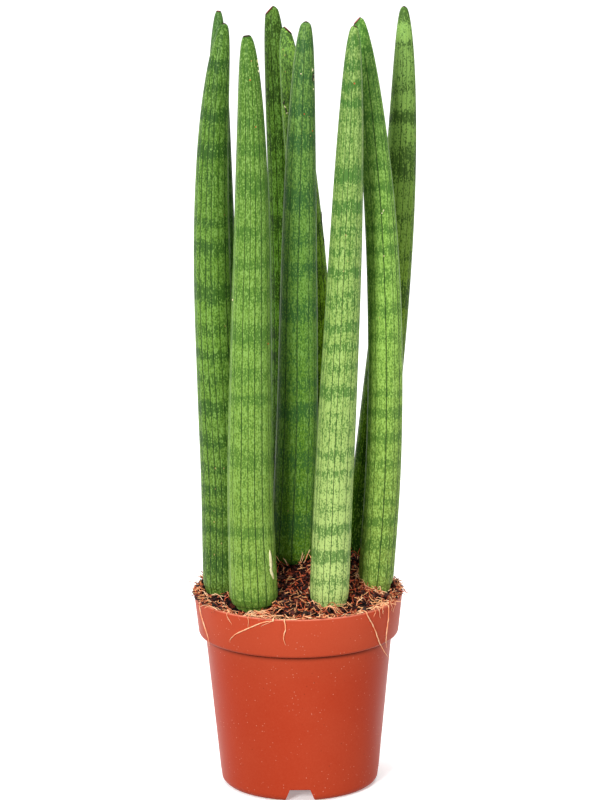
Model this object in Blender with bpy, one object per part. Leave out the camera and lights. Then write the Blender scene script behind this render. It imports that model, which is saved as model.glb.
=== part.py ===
"""Potted snake plant with nine cylindrical leaves in a moulded nursery pot.

Units are metres, +Z is up, and the origin is the centre of the pot's flat underside.
The pot is a turned shell with drain channels under its floor, the potting mix fills it
and heaps above its rim, each leaf stands in a socket in the mix, and thin roots hang
over the rim.
"""
import math
from typing import NamedTuple

import bmesh
import bpy
from mathutils import Matrix, Vector

# Pot: outer sizes, walls and roundings
POT_HEIGHT = 0.1135
RIM_RADIUS = 0.0606
BAND_HEIGHT = 0.0235
RIM_TAPER = 0.0023
BAND_STEP = 0.0039
BODY_TAPER = 0.0083
BAND_ROUND = 0.0019
BASE_ROUND = 0.0045
BODY_WALL = 0.0012
RIM_WALL = 0.0015
LIP_ROUND = 0.0006

BAND_RADIUS = RIM_RADIUS - RIM_TAPER
BODY_TOP_RADIUS = BAND_RADIUS - BAND_STEP
BASE_RADIUS = BODY_TOP_RADIUS - BODY_TAPER
MOUTH_RADIUS = RIM_RADIUS - RIM_WALL

# Drain channels: raised tunnels under the floor, open at the bottom edge
CHANNEL_COUNT = 4
CHANNEL_LENGTH = 0.022
CHANNEL_HEIGHT = 0.0078
CHANNEL_MOUTH = 0.0165
CHANNEL_ROOF = 0.0125
CHANNEL_ROUND = 0.0012
DRAIN_RADIUS = 0.0030
DRAIN_INSET = 0.0110
DRAIN_SEGMENTS = 16
CUT_MARGIN = 0.003

# Potting mix
FIT_GAP = 0.0003
MIX_BELOW_RIM = 0.0045
MIX_EDGE_DROP = 0.0015

# Leaves
FOOT_DEPTH = 0.012
FOOT_HEIGHT = 0.011
FOOT_NECK = 0.45
FOOT_WAIST = 0.75
SOCKET_HEIGHT = 0.022
TIP_SHARE = 0.998

# Roots over the rim
ROOT_RADIUS = 0.00045
ROOT_TAIL = 0.0080
ROOT_SHOULDER = 0.0030

# Resolution
ROUND_SEGMENTS = 60
ARC_STEPS = 3
MIX_RINGS = 6
LEAF_SIDES = 14
LEAF_RINGS = 11
ROOT_STEPS = 10


class Mound(NamedTuple):
    """A heap of mix: its place and spread, as shares of the mouth's radius, and its height."""
    place: tuple
    height: float
    spread: float


class Leaf(NamedTuple):
    """One leaf: its place as shares of the mouth's radius, its length, curve and girth.

    lean is how far the tip stands off the foot, bow pushes the middle of the centre line
    sideways and sway bends it into an S. The radius falls from radius at the foot as
    (1 - t ** fullness) ** point.
    """
    name: str
    place: tuple
    lean: tuple
    length: float
    bow: float
    sway: float
    radius: float
    fullness: float
    point: float
    colour: tuple


class Root(NamedTuple):
    """A root over the rim: its bearing from the front, its sideways drift and its drop.

    lead shapes the drift along the drop: below 1 it runs sideways first.
    """
    name: str
    bearing: float
    drift: float
    drop: float
    lead: float
    wave: float


MOUNDS = (
    Mound((0.17, 0.31), 0.022, 0.51),
    Mound((-0.85, 0.27), 0.008, 0.38),
    Mound((0.58, 0.24), 0.005, 0.17),
)

LEAVES = (
    Leaf("leaf_far_left", (-0.608, 0.436), (-0.0066, 0.002), 0.3285, -0.0035, 0.0,
         0.0102, 2.0, 0.40, (0.09, 0.20, 0.06)),
    Leaf("leaf_left", (-0.746, -0.059), (0.0054, -0.0025), 0.329, -0.0055, 0.006,
         0.0116, 3.1, 0.39, (0.20, 0.40, 0.12)),
    Leaf("leaf_front_left", (-0.434, -0.455), (-0.0001, -0.003), 0.3295, 0.0, -0.004,
         0.0143, 1.1, 0.33, (0.28, 0.48, 0.12)),
    Leaf("leaf_back", (-0.132, 0.762), (-0.0046, 0.006), 0.328, 0.0045, 0.0,
         0.0099, 2.3, 0.27, (0.06, 0.15, 0.05)),
    Leaf("leaf_back_centre", (0.209, 0.574), (-0.0171, -0.004), 0.312, 0.0055, 0.0015,
         0.0108, 2.8, 0.375, (0.12, 0.27, 0.08)),
    Leaf("leaf_centre", (-0.063, 0.228), (0.0109, -0.0085), 0.3165, 0.0, 0.0025,
         0.0132, 1.15, 0.32, (0.15, 0.36, 0.11)),
    Leaf("leaf_front_right", (0.303, -0.465), (0.0159, -0.0035), 0.332, 0.0005, -0.001,
         0.0116, 1.9, 0.39, (0.36, 0.55, 0.22)),
    Leaf("leaf_right", (0.758, -0.059), (-0.0081, -0.0005), 0.331, 0.010, 0.0,
         0.0105, 2.6, 0.335, (0.32, 0.52, 0.20)),
    Leaf("leaf_far_right", (0.625, 0.495), (0.0264, 0.005), 0.3265, 0.006, -0.0015,
         0.0116, 2.1, 0.40, (0.10, 0.22, 0.06)),
)

ROOTS = (
    Root("root_left", -68.5, 0.0083, 0.0235, 1.3, -0.0010),
    Root("root_front_left", -13.5, -0.0300, 0.0165, 0.6, 0.0012),
    Root("root_front", -7.5, 0.0, 0.0140, 1.0, 0.0006),
    Root("root_front_right", 39.5, 0.0235, 0.0320, 1.2, 0.0010),
    Root("root_right", 57.5, 0.0015, 0.0250, 1.0, 0.0006),
)


def clear_scene():
    """Remove the objects that the scene starts with."""
    for obj in list(bpy.data.objects):
        bpy.data.objects.remove(obj, do_unlink=True)


def make_material(name, colour, roughness):
    """Return a Principled material of one colour."""
    material = bpy.data.materials.new(name)
    material.use_nodes = True
    shader = material.node_tree.nodes["Principled BSDF"]
    shader.inputs["Base Color"].default_value = (*colour, 1.0)
    shader.inputs["Roughness"].default_value = roughness
    shader.inputs["Metallic"].default_value = 0.0
    material.diffuse_color = (*colour, 1.0)
    return material


def link_object(name, data, parent=None, location=(0.0, 0.0, 0.0)):
    """Put an object holding data into the scene."""
    obj = bpy.data.objects.new(name, data)
    bpy.context.scene.collection.objects.link(obj)
    obj.parent = parent
    obj.location = location
    return obj


def mesh_from(name, bm, sharp_angle=40.0):
    """Turn a bmesh into a smooth-shaded mesh whose faces point outwards."""
    bmesh.ops.recalc_face_normals(bm, faces=bm.faces)
    mesh = bpy.data.meshes.new(name)
    bm.to_mesh(mesh)
    bm.free()
    mesh.shade_smooth()
    mesh.set_sharp_from_angle(angle=math.radians(sharp_angle))
    return mesh


def add_cutter(target, name, bm):
    """Cut the closed bodies in bm out of the target, and return the cutter."""
    cutter = link_object(name, mesh_from(name, bm))
    cutter.hide_render = True
    cutter.display_type = "WIRE"
    cut = target.modifiers.new(name, "BOOLEAN")
    cut.operation = "DIFFERENCE"
    cut.solver = "EXACT"
    cut.object = cutter
    return cutter


def quarter_arc(centre, radius, start, stop):
    """Points (radius, height) of a quarter circle between two angles in degrees."""
    angles = [start + (stop - start) * i / ARC_STEPS for i in range(ARC_STEPS + 1)]
    return [(centre[0] + radius * math.cos(math.radians(a)),
             centre[1] + radius * math.sin(math.radians(a))) for a in angles]


def turned(profile):
    """Spin an open profile that starts and ends on the Z axis into a closed body."""
    bm = bmesh.new()
    verts = [bm.verts.new((radius, 0.0, height)) for radius, height in profile]
    edges = [bm.edges.new(pair) for pair in zip(verts, verts[1:])]
    bmesh.ops.spin(bm, geom=verts + edges, cent=(0, 0, 0), axis=(0, 0, 1),
                   angle=math.tau, steps=ROUND_SEGMENTS, use_merge=True)
    bmesh.ops.remove_doubles(bm, verts=bm.verts, dist=1e-6)
    return bm


def pot_outside():
    """Outer profile of the pot, from the middle of its underside to its lip."""
    band_bottom = POT_HEIGHT - BAND_HEIGHT
    return [
        (0.0, 0.0),
        *quarter_arc((BASE_RADIUS - BASE_ROUND, BASE_ROUND), BASE_ROUND, -90, 0),
        (BODY_TOP_RADIUS, band_bottom),
        *quarter_arc((BAND_RADIUS - BAND_ROUND, band_bottom + BAND_ROUND), BAND_ROUND, -90, 0),
        *quarter_arc((RIM_RADIUS - LIP_ROUND, POT_HEIGHT - LIP_ROUND), LIP_ROUND, 0, 90),
    ]


def pot_inside():
    """Inner profile of the pot, from the middle of its floor up to the rim's shoulder."""
    band_bottom = POT_HEIGHT - BAND_HEIGHT
    return [
        (0.0, BODY_WALL),
        *quarter_arc((BASE_RADIUS - BASE_ROUND, BASE_ROUND), BASE_ROUND - BODY_WALL, -90, 0),
        (BODY_TOP_RADIUS - BODY_WALL, band_bottom + RIM_WALL),
        *quarter_arc((BAND_RADIUS - BAND_ROUND, band_bottom + BAND_ROUND),
                     BAND_ROUND - RIM_WALL, -90, 0),
    ]


def channel_bodies(grow):
    """Closed wedges in the shape of the drain channels, grown on all sides."""
    bm = bmesh.new()
    mouth, roof = CHANNEL_MOUTH / 2 + grow, CHANNEL_ROOF / 2 + grow
    rounding, top = CHANNEL_ROUND + grow, CHANNEL_HEIGHT + grow
    right_corner = quarter_arc((roof - rounding, top - rounding), rounding, 0, 90)
    left_corner = [(-x, z) for x, z in reversed(right_corner)]
    outline = [(-mouth, -CUT_MARGIN), (mouth, -CUT_MARGIN), (mouth, 0.0),
               *right_corner, *left_corner, (-mouth, 0.0)]
    length = CHANNEL_LENGTH + grow
    for index in range(CHANNEL_COUNT):
        turn = Matrix.Rotation(math.tau * index / CHANNEL_COUNT, 3, "Z")
        inner = turn @ Vector((0.0, length - BASE_RADIUS, 0.0))
        outward = turn @ Vector((0.0, -length - CUT_MARGIN, 0.0))
        face = bm.faces.new([bm.verts.new(turn @ Vector((x, 0.0, z)) + inner)
                             for x, z in outline])
        grown = bmesh.ops.extrude_face_region(bm, geom=[face], use_keep_orig=True)
        moved = [item for item in grown["geom"] if isinstance(item, bmesh.types.BMVert)]
        bmesh.ops.translate(bm, verts=moved, vec=outward)
    return bm


def drain_bores():
    """Closed upright cylinders, one through the roof of each drain channel."""
    bm = bmesh.new()
    low, high = CHANNEL_HEIGHT / 2, CHANNEL_HEIGHT + BODY_WALL + FIT_GAP / 2
    for index in range(CHANNEL_COUNT):
        turn = Matrix.Rotation(math.tau * index / CHANNEL_COUNT, 4, "Z")
        place = Matrix.Translation((0.0, DRAIN_INSET - BASE_RADIUS, (low + high) / 2))
        bmesh.ops.create_cone(bm, cap_ends=True, segments=DRAIN_SEGMENTS, radius1=DRAIN_RADIUS,
                              radius2=DRAIN_RADIUS, depth=high - low, matrix=turn @ place)
    return bm


def build_pot(parent):
    """The moulded pot: a turned body, hollowed around its raised drain channels."""
    outside = turned(pot_outside() + [(0.0, POT_HEIGHT)])
    pot = link_object("pot", mesh_from("pot", outside), parent)
    pot.data.materials.append(make_material("pot_plastic", (0.56, 0.09, 0.035), 0.45))
    above = POT_HEIGHT + CUT_MARGIN
    hollow = pot_inside() + [(MOUTH_RADIUS, POT_HEIGHT), (MOUTH_RADIUS, above), (0.0, above)]
    cavity = add_cutter(pot, "cavity_cutter", turned(hollow))
    add_cutter(cavity, "channel_walls", channel_bodies(BODY_WALL))
    add_cutter(pot, "channel_cutter", channel_bodies(0.0))
    add_cutter(pot, "drain_cutter", drain_bores())


def mix_height(x, y):
    """Height of the mix's surface: a level below the rim plus its mounds."""
    height = POT_HEIGHT - MIX_BELOW_RIM
    for mound in MOUNDS:
        across = x / MOUTH_RADIUS - mound.place[0]
        along = y / MOUTH_RADIUS - mound.place[1]
        away = math.hypot(across, along) / mound.spread
        height += mound.height * math.exp(-away * away / 2)
    return height


def wall_radius(height):
    """Radius of the space inside the rim at a height, level above the lip."""
    low = POT_HEIGHT - BAND_HEIGHT + BAND_ROUND
    share = min((height - low) / (POT_HEIGHT - low), 1.0)
    return MOUTH_RADIUS - RIM_TAPER * (1.0 - share)


def build_mix(parent):
    """The potting mix: it fills the pot with a gap, heaps up and has leaf sockets."""
    filling = [(max(radius - FIT_GAP, 0.0), height + FIT_GAP)
               for radius, height in pot_inside()]
    level = POT_HEIGHT + CUT_MARGIN
    top = [(MOUTH_RADIUS * (MIX_RINGS - ring) / MIX_RINGS, level)
           for ring in range(MIX_RINGS + 1)]
    bm = turned(filling + top)
    for vert in bm.verts:
        if vert.co.z > POT_HEIGHT:
            share = math.hypot(vert.co.x, vert.co.y) / MOUTH_RADIUS
            vert.co.z = mix_height(vert.co.x, vert.co.y) - MIX_EDGE_DROP * share ** 8
            vert.co.xy *= (wall_radius(vert.co.z) - FIT_GAP) / MOUTH_RADIUS
    mix = link_object("potting_mix", mesh_from("potting_mix", bm), parent)
    mix.data.materials.append(make_material("bark_mix", (0.09, 0.035, 0.02), 0.95))
    add_cutter(mix, "channel_relief", channel_bodies(BODY_WALL + FIT_GAP))

    sockets = bmesh.new()
    for leaf in LEAVES:
        loft_leaf(sockets, leaf, FIT_GAP, SOCKET_HEIGHT, leaf_foot(leaf))
    add_cutter(mix, "socket_cutter", sockets)


def leaf_foot(leaf):
    """Where a leaf's centre line meets the surface of the mix."""
    x, y = (share * MOUTH_RADIUS for share in leaf.place)
    return Vector((x, y, mix_height(x, y)))


def foot_share(height):
    """Share of the full radius at a height above the mix: a rounded, buried foot."""
    if height >= FOOT_HEIGHT:
        return 1.0
    if height >= 0.0:
        fall = 1.0 - height / FOOT_HEIGHT
        return FOOT_WAIST + (1.0 - FOOT_WAIST) * math.sqrt(1.0 - fall * fall)
    return FOOT_NECK + (FOOT_WAIST - FOOT_NECK) * (1.0 + height / FOOT_DEPTH)


def leaf_heights(length):
    """Heights of a leaf's rings above the mix, closer together at foot and tip."""
    foot = [-FOOT_DEPTH, -FOOT_DEPTH / 2, 0.0, FOOT_HEIGHT / 6, FOOT_HEIGHT / 2]
    blade = length * TIP_SHARE - FOOT_HEIGHT
    steps = [(ring / LEAF_RINGS) for ring in range(LEAF_RINGS + 1)]
    return foot + [FOOT_HEIGHT + blade * (1.0 - (1.0 - step) ** 1.8) for step in steps]


def leaf_ring(leaf, height):
    """Centre, relative to the foot, and radius of a leaf at a height above the mix."""
    t = max(height / leaf.length, 0.0)
    arch = 4.0 * t * (1.0 - t)
    shift_x = leaf.lean[0] * t + arch * (leaf.bow + leaf.sway * (1.0 - 2.0 * t))
    radius = leaf.radius * (1.0 - t ** leaf.fullness) ** leaf.point
    return Vector((shift_x, leaf.lean[1] * t, height)), radius * foot_share(height)


def loft_leaf(bm, leaf, clearance, top, origin):
    """Loft a closed round body along the leaf up to a height, grown by a clearance."""
    previous = []
    for height in leaf_heights(leaf.length):
        if height > top:
            break
        centre, radius = leaf_ring(leaf, height)
        if not previous:
            centre.z -= clearance
        ring = bmesh.ops.create_circle(bm, cap_ends=not previous, segments=LEAF_SIDES,
                                       radius=radius + clearance,
                                       matrix=Matrix.Translation(origin + centre))["verts"]
        if previous:
            for side in range(LEAF_SIDES):
                after = (side + 1) % LEAF_SIDES
                bm.faces.new((previous[side], previous[after], ring[after], ring[side]))
        previous = ring
    bm.faces.new(previous)


def build_leaf(leaf, parent):
    """One leaf, with its origin where it leaves the mix."""
    bm = bmesh.new()
    loft_leaf(bm, leaf, 0.0, math.inf, Vector())
    obj = link_object(leaf.name, mesh_from(leaf.name, bm), parent, leaf_foot(leaf))
    obj.data.materials.append(make_material(leaf.name + "_skin", leaf.colour, 0.4))


def rim_point(bearing, radius, height):
    """A point around the pot, at a bearing in radians from the front towards +X."""
    return Vector((radius * math.sin(bearing), -radius * math.cos(bearing), height))


def root_path(root):
    """Route of a root: off the mix, over the lip and down the outside of the rim."""
    lift = FIT_GAP + ROOT_RADIUS
    start = math.radians(root.bearing)
    tail = rim_point(start, MOUTH_RADIUS - ROOT_TAIL, 0.0)
    shoulder = rim_point(start, MOUTH_RADIUS - ROOT_SHOULDER, 0.0)
    crest = rim_point(start, MOUTH_RADIUS + ROOT_RADIUS, 0.0)
    tail.z = mix_height(tail.x, tail.y) + lift
    shoulder.z = max(mix_height(shoulder.x, shoulder.y), POT_HEIGHT) + lift
    crest.z = max(mix_height(crest.x, crest.y), POT_HEIGHT) + lift
    points = [tail, shoulder, crest]
    lip = quarter_arc((RIM_RADIUS - LIP_ROUND, POT_HEIGHT - LIP_ROUND), LIP_ROUND + lift, 90, 0)
    points += [rim_point(start, radius, height) for radius, height in lip]

    band_length = BAND_HEIGHT - LIP_ROUND - BAND_ROUND
    for step in range(1, ROOT_STEPS + 1):
        share = step / ROOT_STEPS
        fall = root.drop * share
        along = min(fall / band_length, 1.0)
        radius = RIM_RADIUS - RIM_TAPER * along + lift
        side = root.drift * share ** root.lead + root.wave * math.sin(math.tau * share)
        points.append(rim_point(start + side / RIM_RADIUS, radius, POT_HEIGHT - LIP_ROUND - fall))
    return points


def build_root(root, material, parent):
    """One thin root as a capped tube along its route."""
    curve = bpy.data.curves.new(root.name, "CURVE")
    curve.dimensions = "3D"
    curve.bevel_depth = ROOT_RADIUS
    curve.bevel_resolution = 1
    curve.use_fill_caps = True
    points = root_path(root)
    spline = curve.splines.new("POLY")
    spline.points.add(len(points) - 1)
    for slot, point in zip(spline.points, points):
        slot.co = (*point, 1.0)
    curve.materials.append(material)
    link_object(root.name, curve, parent)


def main():
    """Build the whole plant."""
    clear_scene()
    plant = link_object("plant", None)
    build_pot(plant)
    build_mix(plant)
    for leaf in LEAVES:
        build_leaf(leaf, plant)
    root_skin = make_material("root_skin", (0.45, 0.27, 0.14), 0.8)
    for root in ROOTS:
        build_root(root, root_skin, plant)


main()
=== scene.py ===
"""A potted snake plant: round upright leaves in bark mix, in a stepped nursery pot.

Lengths are in metres, +Z points up and the front of the plant faces -Y.
"""

from __future__ import annotations

import logging
import math
import random
from collections.abc import Callable, Sequence
from dataclasses import dataclass
from enum import Enum
from typing import ClassVar, Union

import bmesh
import bpy
import numpy as np
from mathutils import Matrix, Vector, noise
from mathutils.bvhtree import BVHTree


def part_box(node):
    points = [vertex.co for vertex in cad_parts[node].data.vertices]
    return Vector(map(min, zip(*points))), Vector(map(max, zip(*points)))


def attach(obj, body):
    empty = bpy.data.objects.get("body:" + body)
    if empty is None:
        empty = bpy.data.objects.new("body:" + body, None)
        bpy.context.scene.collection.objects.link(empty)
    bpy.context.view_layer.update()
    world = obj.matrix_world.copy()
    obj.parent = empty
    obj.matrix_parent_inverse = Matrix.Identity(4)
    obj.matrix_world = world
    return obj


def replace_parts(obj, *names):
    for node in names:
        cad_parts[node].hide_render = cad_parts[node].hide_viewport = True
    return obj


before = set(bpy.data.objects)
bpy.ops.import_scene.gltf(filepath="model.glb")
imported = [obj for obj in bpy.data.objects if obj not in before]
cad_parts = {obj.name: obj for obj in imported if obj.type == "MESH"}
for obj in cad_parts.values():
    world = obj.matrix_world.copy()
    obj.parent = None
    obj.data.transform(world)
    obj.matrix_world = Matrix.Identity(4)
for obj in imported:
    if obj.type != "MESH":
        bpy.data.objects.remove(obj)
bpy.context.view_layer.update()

LOG = logging.getLogger("potted_snake_plant")
BODY = "root"
ABOVE_ALL = 1.0
FIT_GAP = 0.0003
WELD = 1e-6
FIBRE_STEP = 0.0011
WISP_RADIUS = 0.00024

Colour = tuple[float, float, float]
Value = Union["Signal", float, Sequence[float]]


class Slot(Enum):
    """Material slots of the part's record."""

    POT = "pot_plastic"
    MIX = "bark_mix"
    DARK_LEAF = "dark_leaf"
    MID_LEAF = "mid_leaf"
    PALE_LEAF = "pale_leaf"
    ROOT = "dry_root"


class Tone(Enum):
    """Shades of a dry root or fibre, from fresh to old."""

    STRAW = "straw"
    RUST = "rust"
    UMBER = "umber"


def paint(red: float, green: float, blue: float) -> Colour:
    """Turn a colour as a screen shows it into the linear values of a shader.

    Args:
        red, green, blue: Shares of full brightness, from 0 to 1.

    Returns:
        The three linear values.
    """
    def linear(share: float) -> float:
        """Undo the screen's curve for one value."""
        return share / 12.92 if share < 0.04045 else ((share + 0.055) / 1.055) ** 2.4

    return linear(red), linear(green), linear(blue)


def smooth_share(value: float, low: float, high: float) -> float:
    """Return 0 below low, 1 above high, and an eased share between them."""
    share = min(max((value - low) / (high - low), 0.0), 1.0)
    return share * share * (3.0 - 2.0 * share)


def binary(operation: str, swapped: bool = False) -> Callable[[Signal, Value], Signal]:
    """Make a method of Signal that joins it and one other value in a Math node.

    Args:
        operation: The node's operation.
        swapped: Whether the signal is the second value.

    Returns:
        The method.
    """
    def method(signal: Signal, other: Value) -> Signal:
        """Add the node."""
        pair = (other, signal) if swapped else (signal, other)
        return signal.math(operation, *pair)

    return method


class Signal:
    """A value on its way through a material, which sums and products accept."""

    __add__ = __radd__ = binary("ADD")
    __sub__ = binary("SUBTRACT")
    __rsub__ = binary("SUBTRACT", swapped=True)
    __mul__ = binary("MULTIPLY")
    __truediv__ = binary("DIVIDE")
    __mod__ = binary("FLOORED_MODULO")
    least = binary("MINIMUM")

    def __init__(self, graph: Graph, socket: bpy.types.NodeSocket) -> None:
        """Keep the graph and the socket that the value leaves from."""
        self.graph = graph
        self.socket = socket

    def math(self, operation: str, *values: Value) -> Signal:
        """Return the result of one Math node on the given values."""
        return self.graph.node("ShaderNodeMath", {"operation": operation},
                               dict(enumerate(values)))

    def floor(self) -> Signal:
        """Round down."""
        return self.math("FLOOR", self)

    def size(self) -> Signal:
        """Drop the sign."""
        return self.math("ABSOLUTE", self)

    def wave(self) -> Signal:
        """Run from 0 to 1 and back once for each unit."""
        return self.math("SINE", self * math.tau) * 0.5 + 0.5

    def rise(self, low: float, high: float) -> Signal:
        """Ease from 0 at low to 1 at high."""
        return self.graph.node("ShaderNodeMapRange", {"interpolation_type": "SMOOTHSTEP"},
                               {"Value": self, "From Min": low, "From Max": high})

    def fall(self, low: float, high: float) -> Signal:
        """Ease from 1 at low to 0 at high."""
        return 1.0 - self.rise(low, high)


class Graph:
    """Builds the nodes of one material around its Principled shader."""

    def __init__(self, name: str, roughness: float, specular: float) -> None:
        """Start a material.

        Args:
            name: The material's name.
            roughness: How rough the surface is where nothing else is said.
            specular: How strongly it mirrors light from straight ahead.
        """
        self.material = bpy.data.materials.new(name)
        self.material.use_nodes = True
        self.tree = self.material.node_tree
        self.shader = self.tree.nodes["Principled BSDF"]
        self.shader.inputs["Roughness"].default_value = roughness
        self.shader.inputs["Specular IOR Level"].default_value = specular

    def node(self, kind: str, settings: dict, inputs: dict, output: int | str = 0) -> Signal:
        """Add any node.

        Args:
            kind: The node's type.
            settings: Its own settings; "stops" holds a ramp's places and colours.
            inputs: Values or signals by socket name or number.
            output: The socket that the result leaves from.

        Returns:
            The chosen output.
        """
        made = self.tree.nodes.new(kind)
        for name, value in settings.items():
            if name != "stops":
                setattr(made, name, value)
                continue
            ramp = made.color_ramp
            for place, colour in value[2:]:
                ramp.elements.new(place)
            for stop, (place, colour) in zip(ramp.elements, sorted(value)):
                stop.position = place
                stop.color = (*colour, 1.0)
        for name, value in inputs.items():
            socket = made.inputs[name]
            if isinstance(value, Signal):
                self.tree.links.new(value.socket, socket)
            elif socket.type == "RGBA":
                socket.default_value = (*value, 1.0)
            else:
                socket.default_value = value
        return Signal(self, made.outputs[output])

    def place(self) -> Signal:
        """Return the point on the piece, in its own coordinates."""
        return self.node("ShaderNodeTexCoord", {}, {}, "Object")

    def chart(self, name: str) -> tuple[Signal, Signal]:
        """Return the two values of a UV map."""
        mapped = self.node("ShaderNodeUVMap", {"uv_map": name}, {})
        return tuple(self.node("ShaderNodeSeparateXYZ", {}, {0: mapped}, axis) for axis in "XY")

    def point(self, across: Value, along: Value, deep: Value = 0.0) -> Signal:
        """Make a point from three values."""
        return self.node("ShaderNodeCombineXYZ", {}, {0: across, 1: along, 2: deep})

    def stretched(self, where: Signal, scale: Sequence[float]) -> Signal:
        """Scale a point along each axis."""
        return self.node("ShaderNodeVectorMath", {"operation": "MULTIPLY"},
                         {0: where, 1: scale})

    def noise(self, where: Signal, scale: float, detail: float = 2.0) -> Signal:
        """Return cloudy noise about 0.5 at a point."""
        return self.node("ShaderNodeTexNoise", {}, {"Vector": where, "Scale": scale,
                                                    "Detail": detail})

    def streaks(self, where: Signal, scale: Sequence[float], detail: float = 2.0) -> Signal:
        """Return noise with its own scale along each axis."""
        return self.noise(self.stretched(where, scale), 1.0, detail)

    def chance(self, number: Signal) -> Signal:
        """Return a random value from 0 to 1 for each whole number."""
        return self.node("ShaderNodeTexWhiteNoise", {"noise_dimensions": "1D"}, {"W": number})

    def specks(self, where: Signal, scale: float, size: float) -> Signal:
        """Return 1 inside small scattered dots and 0 outside.

        Args:
            where: The point.
            scale: Cells to the metre.
            size: Radius of a dot in cells.

        Returns:
            The mask.
        """
        return self.node("ShaderNodeTexVoronoi", {}, {"Vector": where, "Scale": scale},
                         "Distance").fall(size * 0.6, size)

    def cell_tone(self, where: Signal, scale: float) -> Signal:
        """Return a random value from 0 to 1 for each Voronoi cell."""
        colour = self.node("ShaderNodeTexVoronoi", {}, {"Vector": where, "Scale": scale},
                           "Color")
        return self.node("ShaderNodeSeparateColor", {}, {0: colour})

    def blend(self, share: Value, first: Value, second: Value) -> Signal:
        """Mix two colours."""
        return self.node("ShaderNodeMix", {"data_type": "RGBA"},
                         {0: share, 6: first, 7: second}, 2)

    def ramp(self, value: Signal, stops: Sequence[tuple[float, Colour]]) -> Signal:
        """Turn a value into a colour along a row of stops."""
        return self.node("ShaderNodeValToRGB", {"stops": stops}, {0: value})

    def feed(self, name: str, value: Signal) -> None:
        """Link a signal to one of the shader's sockets."""
        self.tree.links.new(value.socket, self.shader.inputs[name])

    def emboss(self, height: Signal, depth: float, strength: float = 1.0) -> None:
        """Let a height pattern tilt the surface.

        Args:
            height: The pattern, from 0 to 1.
            depth: What 1 stands for in metres.
            strength: Share of the effect.
        """
        self.feed("Normal", self.node("ShaderNodeBump", {}, {
            "Height": height, "Distance": depth, "Strength": strength}))


@dataclass(frozen=True)
class LeafSkin:
    """Looks of one leaf's skin.

    Attributes:
        foot, waist, crown: Ground colour low, half way up and near the tip; a foot colour darker
            than the waist is partly painted shade low among the leaves.
        shade: Colour of the cross bands, lines and flecks.
        bands: Strength of the cross bands.
        flecks: Strength of the fine mottling.
        lines: Strength of the lengthwise lines.
        pitch: Mean distance between cross bands.
        seed: Number that moves every pattern.
        gloss: How strongly the skin mirrors light from straight ahead.
        scar: Colour of the dried cut at the tip.
    """

    foot: Colour
    waist: Colour
    crown: Colour
    shade: Colour
    bands: float
    flecks: float
    lines: float
    pitch: float
    seed: float
    gloss: float = 0.12
    scar: Colour = paint(0.62, 0.27, 0.22)

    def material(self, name: str, ribs: int, low: float, high: float) -> bpy.types.Material:
        """Make the material.

        Args:
            name: The material's name.
            ribs: How many ribs run round the leaf.
            low: Height of the leaf's foot.
            high: Height of its tip.

        Returns:
            The finished material.
        """
        graph = Graph(name, roughness=0.45, specular=self.gloss)
        across, height = graph.chart("ribs")
        margin, to_tip = graph.chart("channel")
        place = graph.place()
        deep = tuple(share * 0.26 for share in self.shade)
        pale = tuple(min(share * 1.4 + 0.06, 1.0) for share in self.waist)

        rib = across - across.floor()
        rib_tone = graph.chance((across.floor() % ribs) + self.seed)
        line_tone = graph.chance(((across + 0.5).floor() % ribs) + (self.seed + 50.0))
        dashes = graph.noise(graph.point(across * 3.0, height * 260.0, self.seed), 1.0)
        line = rib.least(1.0 - rib).fall(0.02, 0.10) * dashes.rise(0.16, 0.44)
        line = line * (0.45 + line_tone * 0.55) * to_tip.rise(0.004, 0.022)

        warp = graph.streaks(place, (150.0, 150.0, 190.0))
        drift = graph.noise(graph.point(self.seed, height * 17.0), 1.0, 0.0)
        run = (height + rib_tone * 0.0018 + warp * 0.007) / self.pitch + drift * 2.4
        fading = graph.noise(graph.point(self.seed + 7.0, height * 30.0), 1.0, 0.0)
        band = run.wave().rise(0.25, 1.0) * (0.15 + fading.rise(0.3, 0.62) * 0.85)

        grain = graph.streaks(place, (1250.0, 1250.0, 850.0), 1.0)
        streak = graph.streaks(place, (1300.0, 1300.0, 230.0), 1.0)
        cloud = graph.streaks(place, (90.0, 90.0, 45.0))
        mottle = grain * 0.60 + streak * 0.45 + cloud * 0.10 - 0.075
        fleck = (mottle + band * (self.bands * 0.22) - self.bands * 0.05).rise(0.475, 0.585)

        rise = (height - low) / (high - low)
        # The foot colour is partly painted shade: feet that stand in the shade of other leaves get a
        # darker ground colour.
        ground = graph.ramp(rise, ((0.08, self.foot), (0.95, self.crown), (0.48, self.waist)))
        skin = graph.blend(band * self.bands * 0.36, ground, self.shade)
        skin = graph.blend((mottle + band * 0.05).fall(0.39, 0.49) * 0.52, skin, pale)
        skin = graph.blend(fleck * self.flecks, skin, self.shade)
        skin = graph.blend(line * self.lines, skin, deep)

        edge = margin.size().fall(0.00012, 0.00042) * to_tip.rise(0.004, 0.02)
        skin = graph.blend(edge * 0.5, skin, paint(0.72, 0.82, 0.55))
        dots = graph.specks(graph.stretched(place, (260.0, 260.0, 150.0)), 1.0, 0.10)
        scarce = graph.streaks(place, (34.0, 34.0, 22.0)).rise(0.61, 0.66)
        skin = graph.blend(dots * scarce * 0.8, skin, paint(0.74, 0.62, 0.40))
        ragged = to_tip + graph.noise(place, 1400.0) * 0.0006
        skin = graph.blend(ragged.fall(0.0006, 0.0012), skin, paint(0.13, 0.12, 0.06))
        skin = graph.blend(ragged.fall(0.0002, 0.0005), skin, self.scar)
        graph.feed("Base Color", skin)
        graph.feed("Roughness", 0.40 + grain * 0.14 + dots * 0.2)
        graph.emboss(grain * 0.25 + streak * 0.35 - line * 0.6 - fleck * 0.12 + edge * 0.8,
                     0.00024, 0.8)
        return graph.material


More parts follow.
